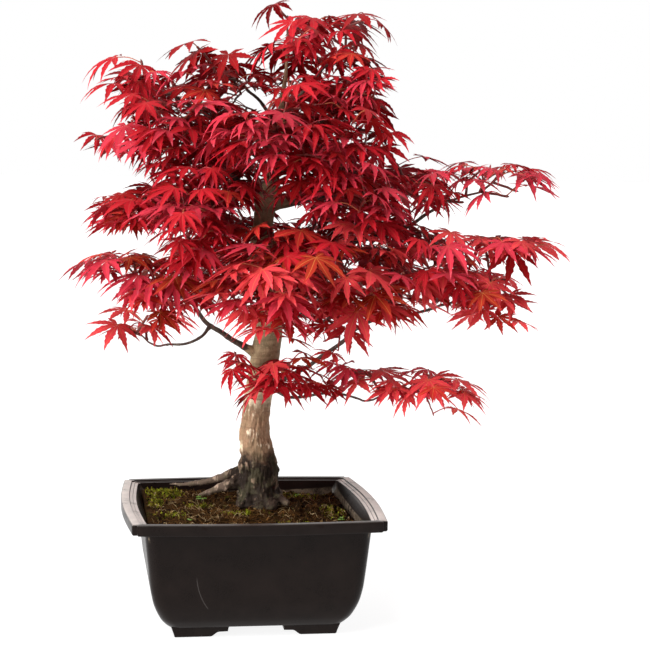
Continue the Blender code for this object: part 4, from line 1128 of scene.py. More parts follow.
def carveBark(piece):
    mesh = piece.data
    mesh.update()
    count = len(mesh.vertices)
    spots, normals = np.empty(count * 3), np.empty(count * 3)
    mesh.vertices.foreach_get("co", spots)
    mesh.vertex_normals.foreach_get("vector", normals)
    spots, normals = spots.reshape(-1, 3), normals.reshape(-1, 3)
    marks, rooted = np.zeros(count), np.zeros(count)
    centre = np.array(potCentre)
    for i in range(count):
        local = Vector(spots[i] - centre)
        out, marks[i] = barkRelief(local)
        axis = treeSpin @ trunkAxis(local.z)
        rooted[i] = unit((hypot(local.x - axis.x, local.y - axis.y) - 0.022) / 0.008)
        spots[i] += normals[i] * out * unit((local.z - trunkShape[0][0]) / 0.003) * (1 - 0.6 * rooted[i])
    mesh.vertices.foreach_set("co", spots.ravel())
    # relief carries the mark that paints shade into the bark's hollows
    for name, values in (("relief", marks), ("rooted", rooted)):
        mesh.attributes.new(name, "FLOAT", "POINT").data.foreach_set("value", values.astype(np.float32))
    mesh.update()


def lumpSolid(spot, radius):
    points, skin = ballSkin(3, radius)
    return [treePoint(*spot) + p for p in points], skin


def buildTrunk(bark, collars):
    rings = trunkRings()
    low, high, wide, narrow = cutStub
    solids = [(allPoints(rings), ringSkin(rings)),
              limbSolid([treePoint(*low), treePoint(*high)], (wide, narrow), 24, 0.2)]
    solids.extend(rootSolid(points, radii) for points, radii in surfaceRoots)
    solids.extend(lumpSolid(spot, radius) for spot, radius in trunkLumps)
    points, faces = joinSolids(solids + collars)
    piece = makePiece("trunk_bark", points, faces, bark)
    remesh(piece, barkLook["voxel"])
    carveBark(piece)
    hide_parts("trunk")
    print("trunk ready,", len(piece.data.polygons), "faces")


def skinOf(node):
    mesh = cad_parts[node].data
    points = [v.co - potCentre for v in mesh.vertices]
    return points, [tuple(p.vertices) for p in mesh.polygons]


def feelerOf(points, faces):
    return BVHTree.FromPolygons([Vector(p) for p in points], faces, all_triangles=False)


def seat(skin, start, heading, radius):
    # slide a limb's end out along its heading until it stands a hair clear of a skin
    heading = heading.normalized()
    side = heading.orthogonal().normalized()
    other = heading.cross(side)
    spots = [Vector((0, 0, 0))]
    for k in range(12):
        turn = 2 * pi * k / 12
        out = side * cos(turn) + other * sin(turn)
        spots.extend((out * radius, out * radius * 0.5))
    for step in range(tree["seatSteps"]):
        spot = start + heading * step * tree["seatStep"]
        for around in spots:
            near, normal, face, far = skin.find_nearest(spot + around)
            if far < tree["gap"] or (spot + around - near).dot(normal) < 0:
                break
        else:
            return spot
    return spot


def boughRoutes(skins):
    routes, starts, ends = {}, {}, {}
    ends["trunk"] = (treeSpin @ trunkAxis(trunkShape[-1][0]), upward)
    for name, parent, leave, points, thick, thin in boughPlans:
        route = [treePoint(*p) for p in points]
        starts[name] = treeSpin @ (trunkAxis(leave) if parent == "trunk" else Vector(leave))
        first = seat(skins[parent], starts[name], route[0] - starts[name], thick * 1.02)
        routes[name] = [first] + route
        ends[name] = (route[-1], (route[-1] - routes[name][-2]).normalized())
    return routes, starts, ends


def boughTube(name, thick, thin, routes, starts):
    # a bark tube from inside the parent limb to the tip, wider at its collar and at each old node
    inside = starts[name].lerp(routes[name][0], 0.35)
    route = smoothRoute([inside] + routes[name], 9)
    along = runLengths(route)
    lead = (routes[name][0] - inside).length
    seed = sum(ord(c) for c in "bough_" + name)
    fine, radii = [], []
    for d in np.linspace(0, along[-1], max(8, int(along[-1] / barkLook["limbStep"]))):
        k = min(int(np.searchsorted(along, d, side="right")) - 1, len(route) - 2)
        t = (d - along[k]) / max(along[k + 1] - along[k], 1e-9)
        share = max(0, (d - lead)) / max(along[-1] - lead, 1e-6)
        collar = exp(-max(0, d - lead) / (thick * 2.2)) * barkLook["collar"]
        off = (d + seed % 7 * 0.002) % barkLook["nodeEvery"] - barkLook["nodeEvery"] / 2
        node = exp(-(off / barkLook["nodeHalf"]) ** 2) * barkLook["nodeRise"]
        wobble = 0.05 * noise.noise(Vector((seed, 0, d * 260)))
        stray = Vector([noise.noise(Vector((seed, d * 60, row))) for row in (1, 5, 9)])
        fine.append(route[k].lerp(route[k + 1], t) + stray * 0.001 * min(1, d / 0.01))
        radii.append((thick + (thin - thick) * share) * (1 + collar + node + wobble))
    return fine, radii, lead


def buildBoughs(finish, routes, starts):
    bundle = Bundle()
    collars = []
    for name, parent, leave, points, thick, thin in boughPlans:
        fine, radii, lead = boughTube(name, thick, thin, routes, starts)
        sides = 14 if thick > 0.0024 else 10
        rings = tubeRings(fine, radii, sides)
        for middle, ring in zip(fine, rings):
            for i, p in enumerate(ring):
                pore = max(0, noise.noise(p * 1500) - 0.3)
                grain = noiseAt(p, 900, 500)
                ring[i] = p + (p - middle).normalized() * (grain * 0.00012 + pore * 0.00035)
        triangles = openSkin(rings)
        for base, order in ((0, -1), ((len(rings) - 1) * sides, 1)):
            triangles.extend((base, base + i, base + i + 1)[::order] for i in range(1, sides - 1))
        bundle.add([tuple(p) for p in allPoints(rings)], triangles, 0)
        if parent == "trunk":
            stop = max(3, int((lead + thick * 3) / barkLook["limbStep"]))
            collars.append(limbSolid(fine[:stop], [r * 1.04 for r in radii[:stop]], 16))
    piece = bundle.build("bough_bark", [finish], "limb_bark")
    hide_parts(*["bough_" + plan[0] for plan in boughPlans])
    return collars


def barkFinish():
    finish = Finish("trunk bark", 0.8, specular=0.2)
    tone, bump = finish.grain(320, 1500, 0.5, finish.stretched(1, 1, 0.35))
    height = splitNode(finish.tree, finish.place)["Z"]
    wander = finish.noise(finish.place, 85, 3)
    lifted = finish.plus(height, finish.times(finish.less(wander, 0.5), 0.03))
    # stand is high where the bark stands out and low in its hollows: the colours below paint shade into the
    # hollows
    stand = finish.above(finish.attribute("relief"), 0.08, 0.6)
    fissures = finish.noise(finish.stretched(520, 520, 70), 1, 4, 0.6)
    # ridges pale and fissures near black at the foot: painted shade in the fissures
    paintedLitRidges = finish.times(stand, finish.above(fissures, 0.4, 0.62))
    foot = finish.mix(paintedLitRidges, (0.013, 0.007, 0.004), (0.33, 0.22, 0.155))
    roots = finish.mix(stand, (0.105, 0.071, 0.052), (0.36, 0.262, 0.2))
    base = finish.mix(finish.attribute("rooted"), foot, roots)
    # pale above the foot, greenish higher up, brown at the top: heights, hollows, ridges; the hollows' darker
    # tone is painted shade
    for low, high, hollow, ridge in (
            (0.126, 0.141, (0.34, 0.205, 0.125), (0.96, 0.78, 0.58)),
            (0.16, 0.2, (0.13, 0.09, 0.047), (0.385, 0.287, 0.17)),
            (0.24, 0.33, (0.11, 0.06, 0.034), (0.4, 0.26, 0.16))):
        base = finish.mix(finish.above(lifted, low, high), base, finish.mix(stand, hollow, ridge))
    base = finish.mix(1, base, finish.mix(tone, (0.8, 0.78, 0.74), (1.25, 1.25, 1.23)), "MULTIPLY")
    base = finish.stain(finish.patches(75, 0.45), 0.22, base, (0.15, 0.14, 0.07))
    base = finish.stain(finish.patches(34, 0.5), 0.16, base, (0.07, 0.046, 0.03))
    # dark horizontal crease lines above the trunk's foot: painted shade in creases that have no depth of
    # their own
    creases = finish.noise(finish.stretched(22, 22, 240), 1, 5, 0.62)
    paintedCreaseShade = finish.times(finish.below(creases, 0.33, 0.43), finish.above(height, 0.12, 0.14))
    base = finish.stain(paintedCreaseShade, 0.55, base, (0.15, 0.09, 0.056))
    return finish.done(base, tone, (0.62, 0.9), bump, 0.75, 0.0011)


def limbFinish():
    finish = Finish("bough bark", 0.7, specular=0.4)
    tone, bump = finish.grain(420, 1900, 0.5, finish.stretched(1, 1, 0.8))
    base = finish.mix(tone, (0.03, 0.017, 0.013), (0.125, 0.082, 0.062))
    base = finish.stain(finish.patches(110, 0.35), 0.5, base, (0.19, 0.16, 0.118))
    return finish.done(base, tone, (0.55, 0.85), bump, 0.6, 0.0007)


growth = {
    "leafLong": 0.04,
    "leafThick": 0.0014,
    "lobeTurns": (0, 0.7, 1.5),
    "lobeLengths": (1, 0.92, 0.68),
    "notchIn": 0.42,
    "notchBack": 0.12,
    "curl": 0.22,
    "stemRadius": 0.002,
    "twigRadius": 0.00115,
    "stalkRadius": 0.00055,
    "fineStalk": 0.0004,
    "clear": 0.0005,
    "twigLongest": 0.085,
    "twigBends": 0.03,
    "seed": 100,
    "spacing": 0.017,
    "sprayPlaces": ((0, 0.0014), (-1, 0.0042), (1, 0.007)),  # which side, how far back
    "tries": 40,
    "droop": (0.3, 1.05),
    "leadDroop": (0.1, 0.6),
    # how a leaf hangs on its stalk: first the main leaves, then the finer ones
    "main": {"size": (0.9, 1.06), "shrink": 0.008, "lift": (0.1, 0.7), "roll": 0.4,
             "stalk": (0.009, 0.022), "curl": (0.6, 1.3)},
    "reachEase": 0.003,
    "reach": 1.65,
    "stray": 0.45,
    "fillSeed": 900,
    "fillSpacing": 0.0095,
    "fillTries": 7,
    "fillNear": 0.058,
    "pairShare": 0.72,
    "pairLong": (0.01, 0.026),
    "pairTurns": (0, 1.15, -1.15),
    "spotTurns": (0, 1.1, -1.1, 2.2, -2.2),
    "fillShare": 5.4,
    "fillReach": 1.8,
    "fillStray": 1,
    "fillThick": 0.0005,
    "fillDroop": (-0.05, 0.75),
    "fillShrink": 0.84,
    "fill": {"size": (0.62, 1.02), "shrink": 0.02, "lift": (-0.2, 0.8), "roll": 0.45,
             "stalk": (0.006, 0.018), "curl": (0.8, 1.8)},
}


def poseLeaf(rng, way, attempt, root, turn, droop, mostLift=1):
    # one trial: where a leaf on its stalk would hang, and which way the stalk runs
    size = growth["leafLong"] * rng.uniform(*way["size"]) * (1 - way["shrink"] * attempt)
    flat = Vector((cos(turn), sin(turn), 0))
    lift = min(rng.uniform(*way["lift"]), mostLift)
    stalk = flat * cos(lift) + upward * sin(lift)
    along = flat * cos(droop) - upward * sin(droop)
    face = flat * sin(droop) + upward * cos(droop)
    face = (Matrix.Rotation(rng.uniform(-way["roll"], way["roll"]), 3, along) @ face).normalized()
    base = root + stalk * rng.uniform(*way["stalk"])
    joint = base + along * growth["notchBack"] * size
    curl = growth["curl"] * rng.uniform(*way["curl"])
    return {"joint": joint, "along": along, "face": face, "size": size, "curl": curl, "root": root}, stalk


def leafSolid(leaf, share, thick, root, radius):
    # the plain five-lobed body that keeps a leaf's room while the tree grows
    joint, along, face, curl = (leaf[part] for part in ("joint", "along", "face", "curl"))
    size = leaf["size"] * share
    side = face.cross(along).normalized()

    def rimPoint(turn, reach):
        out = along * cos(turn) + side * sin(turn)
        return joint + out * reach * size - face * curl * size * reach * reach

    half = []
    turns = growth["lobeTurns"]
    for i in (1, 2):
        half.append(((turns[i] + turns[i - 1]) / 2, growth["notchIn"]))
        half.append((turns[i], growth["lobeLengths"][i]))
    ring = [rimPoint(-turn, reach) for turn, reach in reversed(half)] + [rimPoint(0, 1)]
    ring.extend(rimPoint(turn, reach) for turn, reach in half)
    base = rimPoint(pi, growth["notchBack"])
    ring.extend((base + side * radius, base - side * radius))
    count = len(ring)
    run = (base - root).normalized()
    across = (side - run * side.dot(run)).normalized()
    above = across.cross(run)
    if above.dot(face) < 0:
        above = -above
    verts = ring + [
        base - face * radius * 1.3,
        joint + face * thick / 2,
        joint - face * thick / 2,
        root + across * radius + above * radius * 0.5,
        root - across * radius + above * radius * 0.5,
        root - above * radius,
    ]
    right, left, keel, top, under, farRight, farLeft, farKeel = range(count - 2, count + 6)
    faces = [(keel, right, under), (left, keel, under), (left, right, farRight, farLeft),
             (keel, left, farLeft, farKeel), (right, keel, farKeel, farRight), (farRight, farKeel, farLeft)]
    for i in range(count):
        faces.append((i, (i + 1) % count, top))
        if i != right:
            faces.append(((i + 1) % count, i, under))
    return verts, faces


def inAny(boxes, verts):
    return any(abs(p[0] - x) < wide and abs(p[2] - z) < tall for p in verts for x, z, wide, tall in boxes)


class Room:
    # what is taken already, and which part of the crown each mass may fill

    def __init__(self, solids):
        self.verts = []
        self.faces = []
        self.stems = []
        self.centres = np.array([mass[2] for mass in massPlans])
        self.halves = np.array([mass[3] for mass in massPlans])
        self.rows = np.array(crownReach)
        for solid in solids:
            self.add(solid)
        self.refresh()
        self.limbs = self.skin

    def add(self, solid):
        base = len(self.verts)
        self.verts.extend(solid[0])
        self.faces.extend(tuple(i + base for i in face) for face in solid[1])

    def refresh(self):
        self.skin = BVHTree.FromPolygons(self.verts, self.faces, all_triangles=False)

    def hits(self, index, solid, skin=None):
        # whether a body would touch what is there, or another mass's stem
        feeler = feelerOf([treeSpin @ Vector(v) for v in solid[0]], solid[1])
        others = [stem for i, stem in enumerate(self.stems) if i != index]
        return any(other.overlap(feeler) for other in [skin or self.skin] + others)

    def hitsLimb(self, index, solid):
        return self.hits(index, solid, self.limbs)

    def owns(self, index, verts, reach, stray):
        spots = np.array([tuple(v) for v in verts])
        low, high = (np.interp(spots[:, 2], self.rows[:, 0], self.rows[:, side]) for side in (1, 2))
        ease = growth["reachEase"]
        if ((spots[:, 0] <= low - ease) | (spots[:, 0] >= high + ease)).any():
            return False
        apart = (spots[:, None, :] - self.centres) / self.halves
        measure = np.sqrt((apart * apart).sum(2))
        own = measure[:, index]
        return not ((own > reach).any() or (measure < (own - stray)[:, None]).any())


def middleOf(leaf, share=0.4):
    return leaf["joint"] + leaf["along"] * leaf["size"] * share


class Crown:
    # everything that grows: twigs and leaves, told in the tree's own frame

    def __init__(self):
        self.twigs = []
        self.leaves = []
        self.feelers = []
        self.middles = []

    def addTwig(self, index, route, radii, level):
        self.twigs.append({"mass": index, "route": route, "radii": radii, "level": level})

    def addLeaf(self, index, leaf, feeler, spray, main):
        leaf.update(mass=index, spray=spray, main=main)
        self.leaves.append(leaf)
        self.feelers.append(feeler)
        self.middles.append(tuple(middleOf(leaf)))

    def twigsOf(self, index):
        return [twig for twig in self.twigs if twig["mass"] == index]

    def near(self, spot, reach):
        if not self.middles:
            return []
        away = np.array(self.middles) - np.array(spot)
        return np.nonzero((away * away).sum(1) < reach * reach)[0]


def spreadPoints(rng, centre, half, count, start):
    # spots spread evenly over a mass's shell, every third one further in, nearest first
    golden = pi * (3 - sqrt(5))
    spots = []
    shift = rng.uniform(0, 2 * pi)
    for i in range(count):
        rise = 1 - 2 * (i + 0.5) / count
        ring = sqrt(max(0, 1 - rise * rise))
        turn = shift + golden * i
        reach = 0.8 - 0.42 * (i % 3 == 2)
        spot = Vector((centre[0] + half[0] * reach * ring * cos(turn),
                       centre[1] + half[1] * reach * ring * sin(turn),
                       centre[2] + half[2] * reach * rise))
        spots.append(spot + Vector(rng.uniform(-0.006, 0.006, 3)))
    return sorted(spots, key=lambda p: (p - start).length)


def massStem(index, skins, ends, routes):
    name, limb, centre = massPlans[index][:3]
    centre = Vector(centre)
    if name in sideStarts:
        first, second, share = sideStarts[name]
        a, b = routes[limb][first], routes[limb][second]
        mid = treeSpinBack @ (a + (b - a) * share)
        aim = centre - mid
        along = (treeSpinBack @ (b - a)).normalized()
        aim = (aim - along * aim.dot(along) * 0.6).normalized()
        start = treeSpinBack @ seat(skins[limb], treeSpin @ mid, treeSpin @ aim, growth["stemRadius"] * 1.02)
    else:
        tip, heading = ends[limb]
        start = treeSpinBack @ (tip + heading * tree["gap"] * 1.2)
        aim = treeSpinBack @ heading
    toward = centre - start
    reach = toward.length
    bend = start + aim * min(0.01, reach * 0.3)
    return [start, bend, start + toward * 0.75 if reach > 0.02 else start + aim * 0.02]


def nodesAlong(route):
    if len(route) == 2:
        return [((route[0] + route[1]) / 2, route[1] - route[0])]
    return [(route[1], route[2] - route[0]), (route[1].lerp(route[2], 0.5), route[2] - route[1])]


def headingOut(spot):
    # the level direction from the crown's axis to a spot
    out = spot - Vector((*tree["crownAxis"], spot.z))
    return atan2(out.y, out.x)


def layTwig(rng, index, room, nodes, spot, leaves):
    # a twig from the nearest node to a spot, or nothing where something is in its way
    def cost(node):
        away = spot - node[0]
        return away.length + 0.012 * (1 - away.normalized().dot(node[1].normalized()))

    best = min(nodes, key=cost)
    if cost(best) > growth["twigLongest"]:
        return None
    thick = growth["twigRadius"]
    root = best[0]
    middle = (root + spot) / 2 + Vector((0, 0, 0.1 * (spot - root).length))
    sunk = root + (middle - root).normalized() * 0.0002
    if (spot - root).length > growth["twigBends"]:
        route, radii = [sunk, middle, spot], (thick, thick * 0.95, thick * 0.85)
    else:
        route, radii = [sunk, spot], (thick, thick * 0.85)
    twig = limbSolid(route, radii, 3, rng.uniform(0, 2))
    wide = limbSolid([root.lerp(route[1], 0.06)] + route[1:], (thick + growth["clear"],) * len(route), 3)
    if room.hits(index, wide) or inAny(openWays, wide[0]):
        return None
    feeler = feelerOf(*wide)
    if any(feeler.overlap(other) for other in leaves):
        return None
    return route, radii, feelerOf(*twig)


def leafSpray(rng, index, room, crown, route, leaves, twigs, quota, droops):
    # two side leaves and an end leaf on their stalks near a twig's end
    run = (route[-1] - route[-2]).normalized()
    heading = headingOut(route[-1])
    clear = growth["clear"]
    grown = 0
    for which, back in growth["sprayPlaces"]:
        if grown >= quota:
            break
        root = route[-1] - run * back
        for attempt in range(growth["tries"]):
            loose = 0.25 + 0.07 * attempt
            turn = heading + which * rng.uniform(0.8, 1.6) + rng.uniform(-loose, loose)
            droop = rng.uniform(*(growth["droop"] if which else droops))
            leaf, stalk = poseLeaf(rng, growth["main"], attempt, root, turn, droop, 1.15 - droop)
            wide = leafSolid(leaf, 1.03, growth["leafThick"] + 2 * clear, root + stalk * 0.003,
                             growth["stalkRadius"] + clear)
            if inAny(openWays, wide[0]) or not room.owns(index, wide[0], growth["reach"], growth["stray"]):
                continue
            if room.hits(index, wide):
                continue
            own = feelerOf(*wide)
            if any(own.overlap(other) for other in leaves + twigs):
                continue
            leaves.append(own)
            thin = leafSolid(leaf, 0.94, growth["fillThick"], root, growth["fineStalk"])
            crown.addLeaf(index, leaf, feelerOf(*thin), len(crown.twigs), True)
            grown += 1
            break
    return grown


def growMass(index, room, crown, stem):
    limb, centre, half, quota, leads = massPlans[index][1:]
    rng = np.random.default_rng(growth["seed"] + index)
    thick = growth["stemRadius"]
    slim = next((plan[5] for plan in boughPlans if plan[0] == limb), trunkShape[-1][2])
    crown.addTwig(index, [stem[0] - (stem[1] - stem[0]).normalized() * 0.0016] + stem[1:],
                  (slim * 1.05, slim * 0.95, slim * 0.75), 0)
    run = stem[2] - stem[1]
    nodes = [(stem[1], stem[1] - stem[0]), (stem[1] + run * 0.5, run),
             (stem[2] - run.normalized() * 0.0015, run)]
    leaves = []
    twigs = [feelerOf(*limbSolid(stem, (thick, thick * 0.95, thick * 0.75), 3, 0.3))]
    leads = sorted((Vector(p) for p in leads), key=lambda p: (p - stem[0]).length)
    spots = list(leads)
    for layer in range(3):
        for spot in spreadPoints(rng, centre, half, 7 + 3 * layer, stem[0]):
            if all((spot - other).length > growth["spacing"] for other in spots):
                spots.append(spot)

    def keep(route, radii, feeler):
        twigs.append(feeler)
        nodes.extend(nodesAlong(route))
        crown.addTwig(index, route, radii, 1)

    def spray(route, others, droops):
        return leafSpray(rng, index, room, crown, route, leaves, others, quota - len(leaves), droops)

    leadTwigs = []
    for spot in leads:
        laid = layTwig(rng, index, room, nodes, spot, leaves)
        if laid:
            keep(*laid)
            leadTwigs.append(laid)
    for route, radii, own in reversed(leadTwigs):
        spray(route, [twig for twig in twigs if twig is not own], growth["leadDroop"])
    for spot in spots[len(leads):]:
        if len(leaves) >= quota:
            break
        laid = layTwig(rng, index, room, nodes, spot, leaves)
        if laid and spray(laid[0], twigs, growth["droop"]):
            keep(*laid)


def fillLeaf(rng, index, room, crown, root, heading, spray):
    # one more leaf on its stalk, if there is room for it
    for attempt in range(growth["fillTries"]):
        loose = 0.25 + 0.12 * attempt
        turn = heading + rng.uniform(-loose, loose)
        leaf, stalk = poseLeaf(rng, growth["fill"], attempt, root, turn, rng.uniform(*growth["fillDroop"]))
        solid = leafSolid(leaf, growth["fillShrink"], growth["fillThick"], root + stalk * 0.002,
                          growth["fineStalk"])
        reach, stray = growth["fillReach"], growth["fillStray"]
        if inAny(fillGaps, solid[0]) or not room.owns(index, solid[0], reach, stray):
            continue
        if room.hitsLimb(index, solid):
            continue
        own = feelerOf(*solid)
        if not any(own.overlap(crown.feelers[i]) for i in crown.near(middleOf(leaf), growth["fillNear"])):
            crown.addLeaf(index, leaf, own, spray, False)
            return True
    return False


# extra spots that finer twigs reach for, where the crown is close: mass, spots
fillSpots = {
    "crown_right": ((0.076, 0.012, 0.496),),
    "low_middle": ((-0.019, -0.03, 0.206), (-0.008, -0.034, 0.214), (0.04, -0.03, 0.2)),
    "crown_left": ((-0.03, 0, 0.432), (-0.012, 0.02, 0.436), (-0.02, 0.03, 0.42)),
    "front_upper": ((0, -0.04, 0.372), (-0.006, -0.05, 0.392), (0.044, -0.044, 0.366),
        (0.012, -0.04, 0.348)),
    "front_low": ((0.03, -0.05, 0.314), (0.048, -0.056, 0.302), (0.012, -0.056, 0.302),
        (0.032, -0.04, 0.322)),
    "front_left": ((0, -0.04, 0.335), (-0.006, -0.036, 0.322), (-0.014, -0.044, 0.346)),
    "mid_left": ((-0.034, -0.006, 0.352), (-0.03, -0.012, 0.33), (-0.046, -0.03, 0.35), (-0.088, 0, 0.324),
        (-0.012, -0.014, 0.35), (-0.104, 0.008, 0.33)),
    "upper_left": ((-0.03, -0.01, 0.392), (-0.024, 0.004, 0.376), (-0.128, 0.01, 0.394)),
    "right_front": ((0.05, -0.03, 0.342), (0.068, -0.036, 0.334), (0.052, -0.034, 0.384)),
    "middle_right": ((0.066, -0.04, 0.312), (0.101, -0.02, 0.308), (0.06, -0.05, 0.262)),
    "low_right": ((0.118, -0.01, 0.308), (0.104, -0.016, 0.302), (0.152, -0.01, 0.264)),
    "lower_right": ((0.122, -0.012, 0.192), (0.146, -0.012, 0.192), (0.166, -0.01, 0.194)),
    "back_left": ((-0.016, 0.07, 0.34), (-0.02, 0.074, 0.316), (-0.03, 0.07, 0.37)),
    "back_top": ((-0.01, 0.06, 0.424), (-0.014, 0.06, 0.4), (0.052, 0.06, 0.412)),
    "back_right": ((0.05, 0.064, 0.33), (0.06, 0.07, 0.312), (0.07, 0.06, 0.376)),
    "back_low": ((0.04, 0.076, 0.312), (0.004, 0.08, 0.296), (0.052, 0.08, 0.28)),
}

# gaps that the finer growth leaves: sideways, height, half sizes
fillGaps = (
    (0.032, 0.334, 0.013, 0.006), (-0.01, 0.334, 0.005, 0.005), (0.002, 0.425, 0.01, 0.008),
    (-0.117, 0.309, 0.025, 0.005), (0.15, 0.226, 0.06, 0.006), (-0.023, 0.231, 0.014, 0.007),
    (0.215, 0.328, 0.034, 0.009), (-0.028, 0.474, 0.026, 0.014), (-0.06, 0.482, 0.06, 0.01),
    (-0.126, 0.464, 0.014, 0.008), (-0.134, 0.416, 0.014, 0.012), (-0.115, 0.356, 0.026, 0.008),
    (0.12, 0.38, 0.013, 0.008), (-0.078, 0.305, 0.01, 0.007), (-0.122, 0.266, 0.018, 0.008),
    (-0.094, 0.245, 0.01, 0.006), (0.228, 0.278, 0.016, 0.016), (0.2, 0.34, 0.018, 0.009),
    (0.12, 0.416, 0.012, 0.014), (0.112, 0.466, 0.014, 0.012), (0.034, 0.513, 0.042, 0.013),
    (0.012, 0.484, 0.009, 0.01), (0.101, 0.492, 0.008, 0.01), (-0.086, 0.456, 0.022, 0.006),
    (-0.114, 0.404, 0.014, 0.006), (0.206, 0.355, 0.014, 0.009), (-0.012, 0.238, 0.018, 0.005),
    (0.021, 0.228, 0.012, 0.012), (0.032, 0.175, 0.02, 0.007), (0.114, 0.174, 0.03, 0.006),
    (-0.075, 0.226, 0.012, 0.007), (0.134, 0.378, 0.01, 0.007), (0.158, 0.324, 0.01, 0.006),
    (-0.134, 0.25, 0.01, 0.005), (-0.13, 0.227, 0.016, 0.005), (-0.13, 0.446, 0.012, 0.006),
    (-0.032, 0.206, 0.006, 0.013), (-0.022, 0.18, 0.012, 0.009),
)

# masses that carry fewer or more leaves than the rest
fillShares = {"crown_top": 2.2, "right_outer": 1.6, "lower_right": 1.5,
              "top_left": 2.2, "bottom_left": 1.5}


def reachForSpots(index, room, crown):
    # a longer finer twig to each extra spot, with a spray at its end
    rng = np.random.default_rng(growth["fillSeed"] + 500 + index)
    for spot in (Vector(p) for p in fillSpots.get(massPlans[index][0], ())):
        points = [p for twig in crown.twigsOf(index) for p in smoothRoute(twig["route"], 4)]
        best = min(points, key=lambda p: (p - spot).length)
        middle = best.lerp(spot, 0.5) + upward * (spot - best).length * 0.1
        if room.hitsLimb(index, limbSolid([best.lerp(middle, 0.2), middle, spot], (0.0009,) * 3, 3)):
            continue
        heading = headingOut(spot)
        spray = len(crown.twigs)
        crown.addTwig(index, [best, middle, spot], (0.001, 0.0009, 0.0007), 1)
        for turn in growth["spotTurns"]:
            fillLeaf(rng, index, room, crown, spot, heading + turn, spray)


def fillSeats(index, crown):
    # evenly spaced joints along a mass's twigs: place, direction, number on its twig
    seats = []
    for twig in crown.twigsOf(index):
        route = smoothRoute(twig["route"], 6)
        lengths = runLengths(route)
        steps = max(1, int(lengths[-1] / growth["fillSpacing"]))
        for k in range(1, steps + 1):
            d = lengths[-1] * k / (steps + 0.35)
            at = min(int(np.searchsorted(lengths, d, side="right")) - 1, len(route) - 2)
            spot = route[at].lerp(route[at + 1], (d - lengths[at]) / (lengths[at + 1] - lengths[at]))
            seats.append((spot, (route[at + 1] - route[at]).normalized(), k))
    return seats


def fillMass(index, room, crown, layer):
    # finer side twigs in opposite pairs along every twig, with leaves at their ends and joints
    rng = np.random.default_rng(growth["fillSeed"] + index + 100 * layer)
    name, planned = massPlans[index][0], massPlans[index][4]
    quota = int(planned * fillShares.get(name, growth["fillShare"]))
    quota -= sum(1 for leaf in crown.leaves if leaf["mass"] == index) - planned
    seats = fillSeats(index, crown)
    rng.shuffle(seats)
    made = 0
    for spot, run, k in seats:
        if made >= quota:
            break
        side = run.cross(upward)
        if side.length < 0.2:
            side = Vector((1, 0, 0))
        side.normalize()
        over = side.cross(run)
        for sign in (1, -1):
            out = side * sign if k % 2 else (side * 0.45 + over * 0.9 * sign).normalized()
            out = (out * 0.85 + run * 0.55).normalized()
            heading = atan2(out.y, out.x)
            tip = spot + out * rng.uniform(*growth["pairLong"]) + upward * 0.003
            spray = len(crown.twigs)
            solid = limbSolid([spot + out * 0.002, tip], (0.0006, 0.0005), 3)
            free = not (inAny(fillGaps, [spot.lerp(tip, 0.5), tip]) or room.hitsLimb(index, solid))
            grown = 0
            if free and rng.random() < growth["pairShare"]:
                for turn in growth["pairTurns"]:
                    root = tip - out * 0.0012 * abs(turn)
                    grown += fillLeaf(rng, index, room, crown, root, heading + turn, spray)
                if grown:
                    crown.addTwig(index, [spot, spot.lerp(tip, 0.5) + upward * 0.0008, tip],
                                  (0.00085, 0.0007, 0.00055), 2)
            if not grown:
                grown += fillLeaf(rng, index, room, crown, spot, heading, spray)
            made += grown


def growCrown(limbs, skins, ends, routes):
    room = Room(limbs.values())
    crown = Crown()
    masses = range(len(massPlans))
    stems = [massStem(index, skins, ends, routes) for index in masses]
    for stem in stems:
        wide = [stem[0].lerp(stem[1], 0.1)] + stem[1:]
        points, skin = limbSolid(wide, (growth["stemRadius"] + growth["clear"],) * 3, 4)
        room.stems.append(feelerOf([treeSpin @ p for p in points], skin))
    for index in masses:
        growMass(index, room, crown, stems[index])
        room.add(skinOf("foliage_" + massPlans[index][0]))
        room.refresh()
    print("main leaves", len(crown.leaves), "twigs", len(crown.twigs))
    for index in masses:
        reachForSpots(index, room, crown)
    for layer in range(2):
        for index in masses:
            fillMass(index, room, crown, layer)
    crown.leaves = [leaf for leaf in crown.leaves
                    if not (leaf["main"] and inAny(fillGaps, [middleOf(leaf, 0.5)]))]
    print("leaves in all", len(crown.leaves), "twigs", len(crown.twigs))
    return crown


leafForms = {
    "seed": 51,
    "twigSeed": 61,
    "stalkSeed": 62,
    "open": {
        "count": 7,
        "turns": (0, 0.66, 1.34, 2.15),
        "lengths": (1, 0.94, 0.76, 0.42),
        "width": 0.106,
        "bend": (0.2, 0.62),
        "fold": (0.1, 0.34),
    },
    "hanging": {
        "count": 7,
        "turns": (0, 0.54, 1.06, 1.66),
        "lengths": (1, 0.96, 0.8, 0.46),
        "width": 0.086,
        "bend": (0.5, 1.1),
        "fold": (0.25, 0.6),
    },
    "ribHalf": 0.0105,
    "holdReach": 0.0035,
    "teeth": 4,
    "flatten": 0.4,
    "sinus": 0.21,
}


def lobeRows(length, width, angles, teeth):
    # distance out, half widths to both sides and a tooth's forward shift, from the joint to the tip
    steps = [(d, 1, 0) for d in (0.035, 0.12, leafForms["sinus"]) if d < length * 0.75]
    for k in range(teeth):
        t = (k + 0.5) / teeth
        for s, factor, shift in ((0.3 + 0.62 * t - 0.045, 0.87, 0), (0.3 + 0.62 * t, 1.1, 0.016)):
            if length * s > leafForms["sinus"]:
                steps.append((length * s, factor, shift))
    rows = []
    for s, factor, shift in steps:
        blade = width * sin(pi * min(s / length, 1) ** 0.8) ** 1.45 * length ** 0.35 * factor
        rows.append((s, *(min(blade, s * tan(angle)) for angle in angles), shift * length))
    return rows


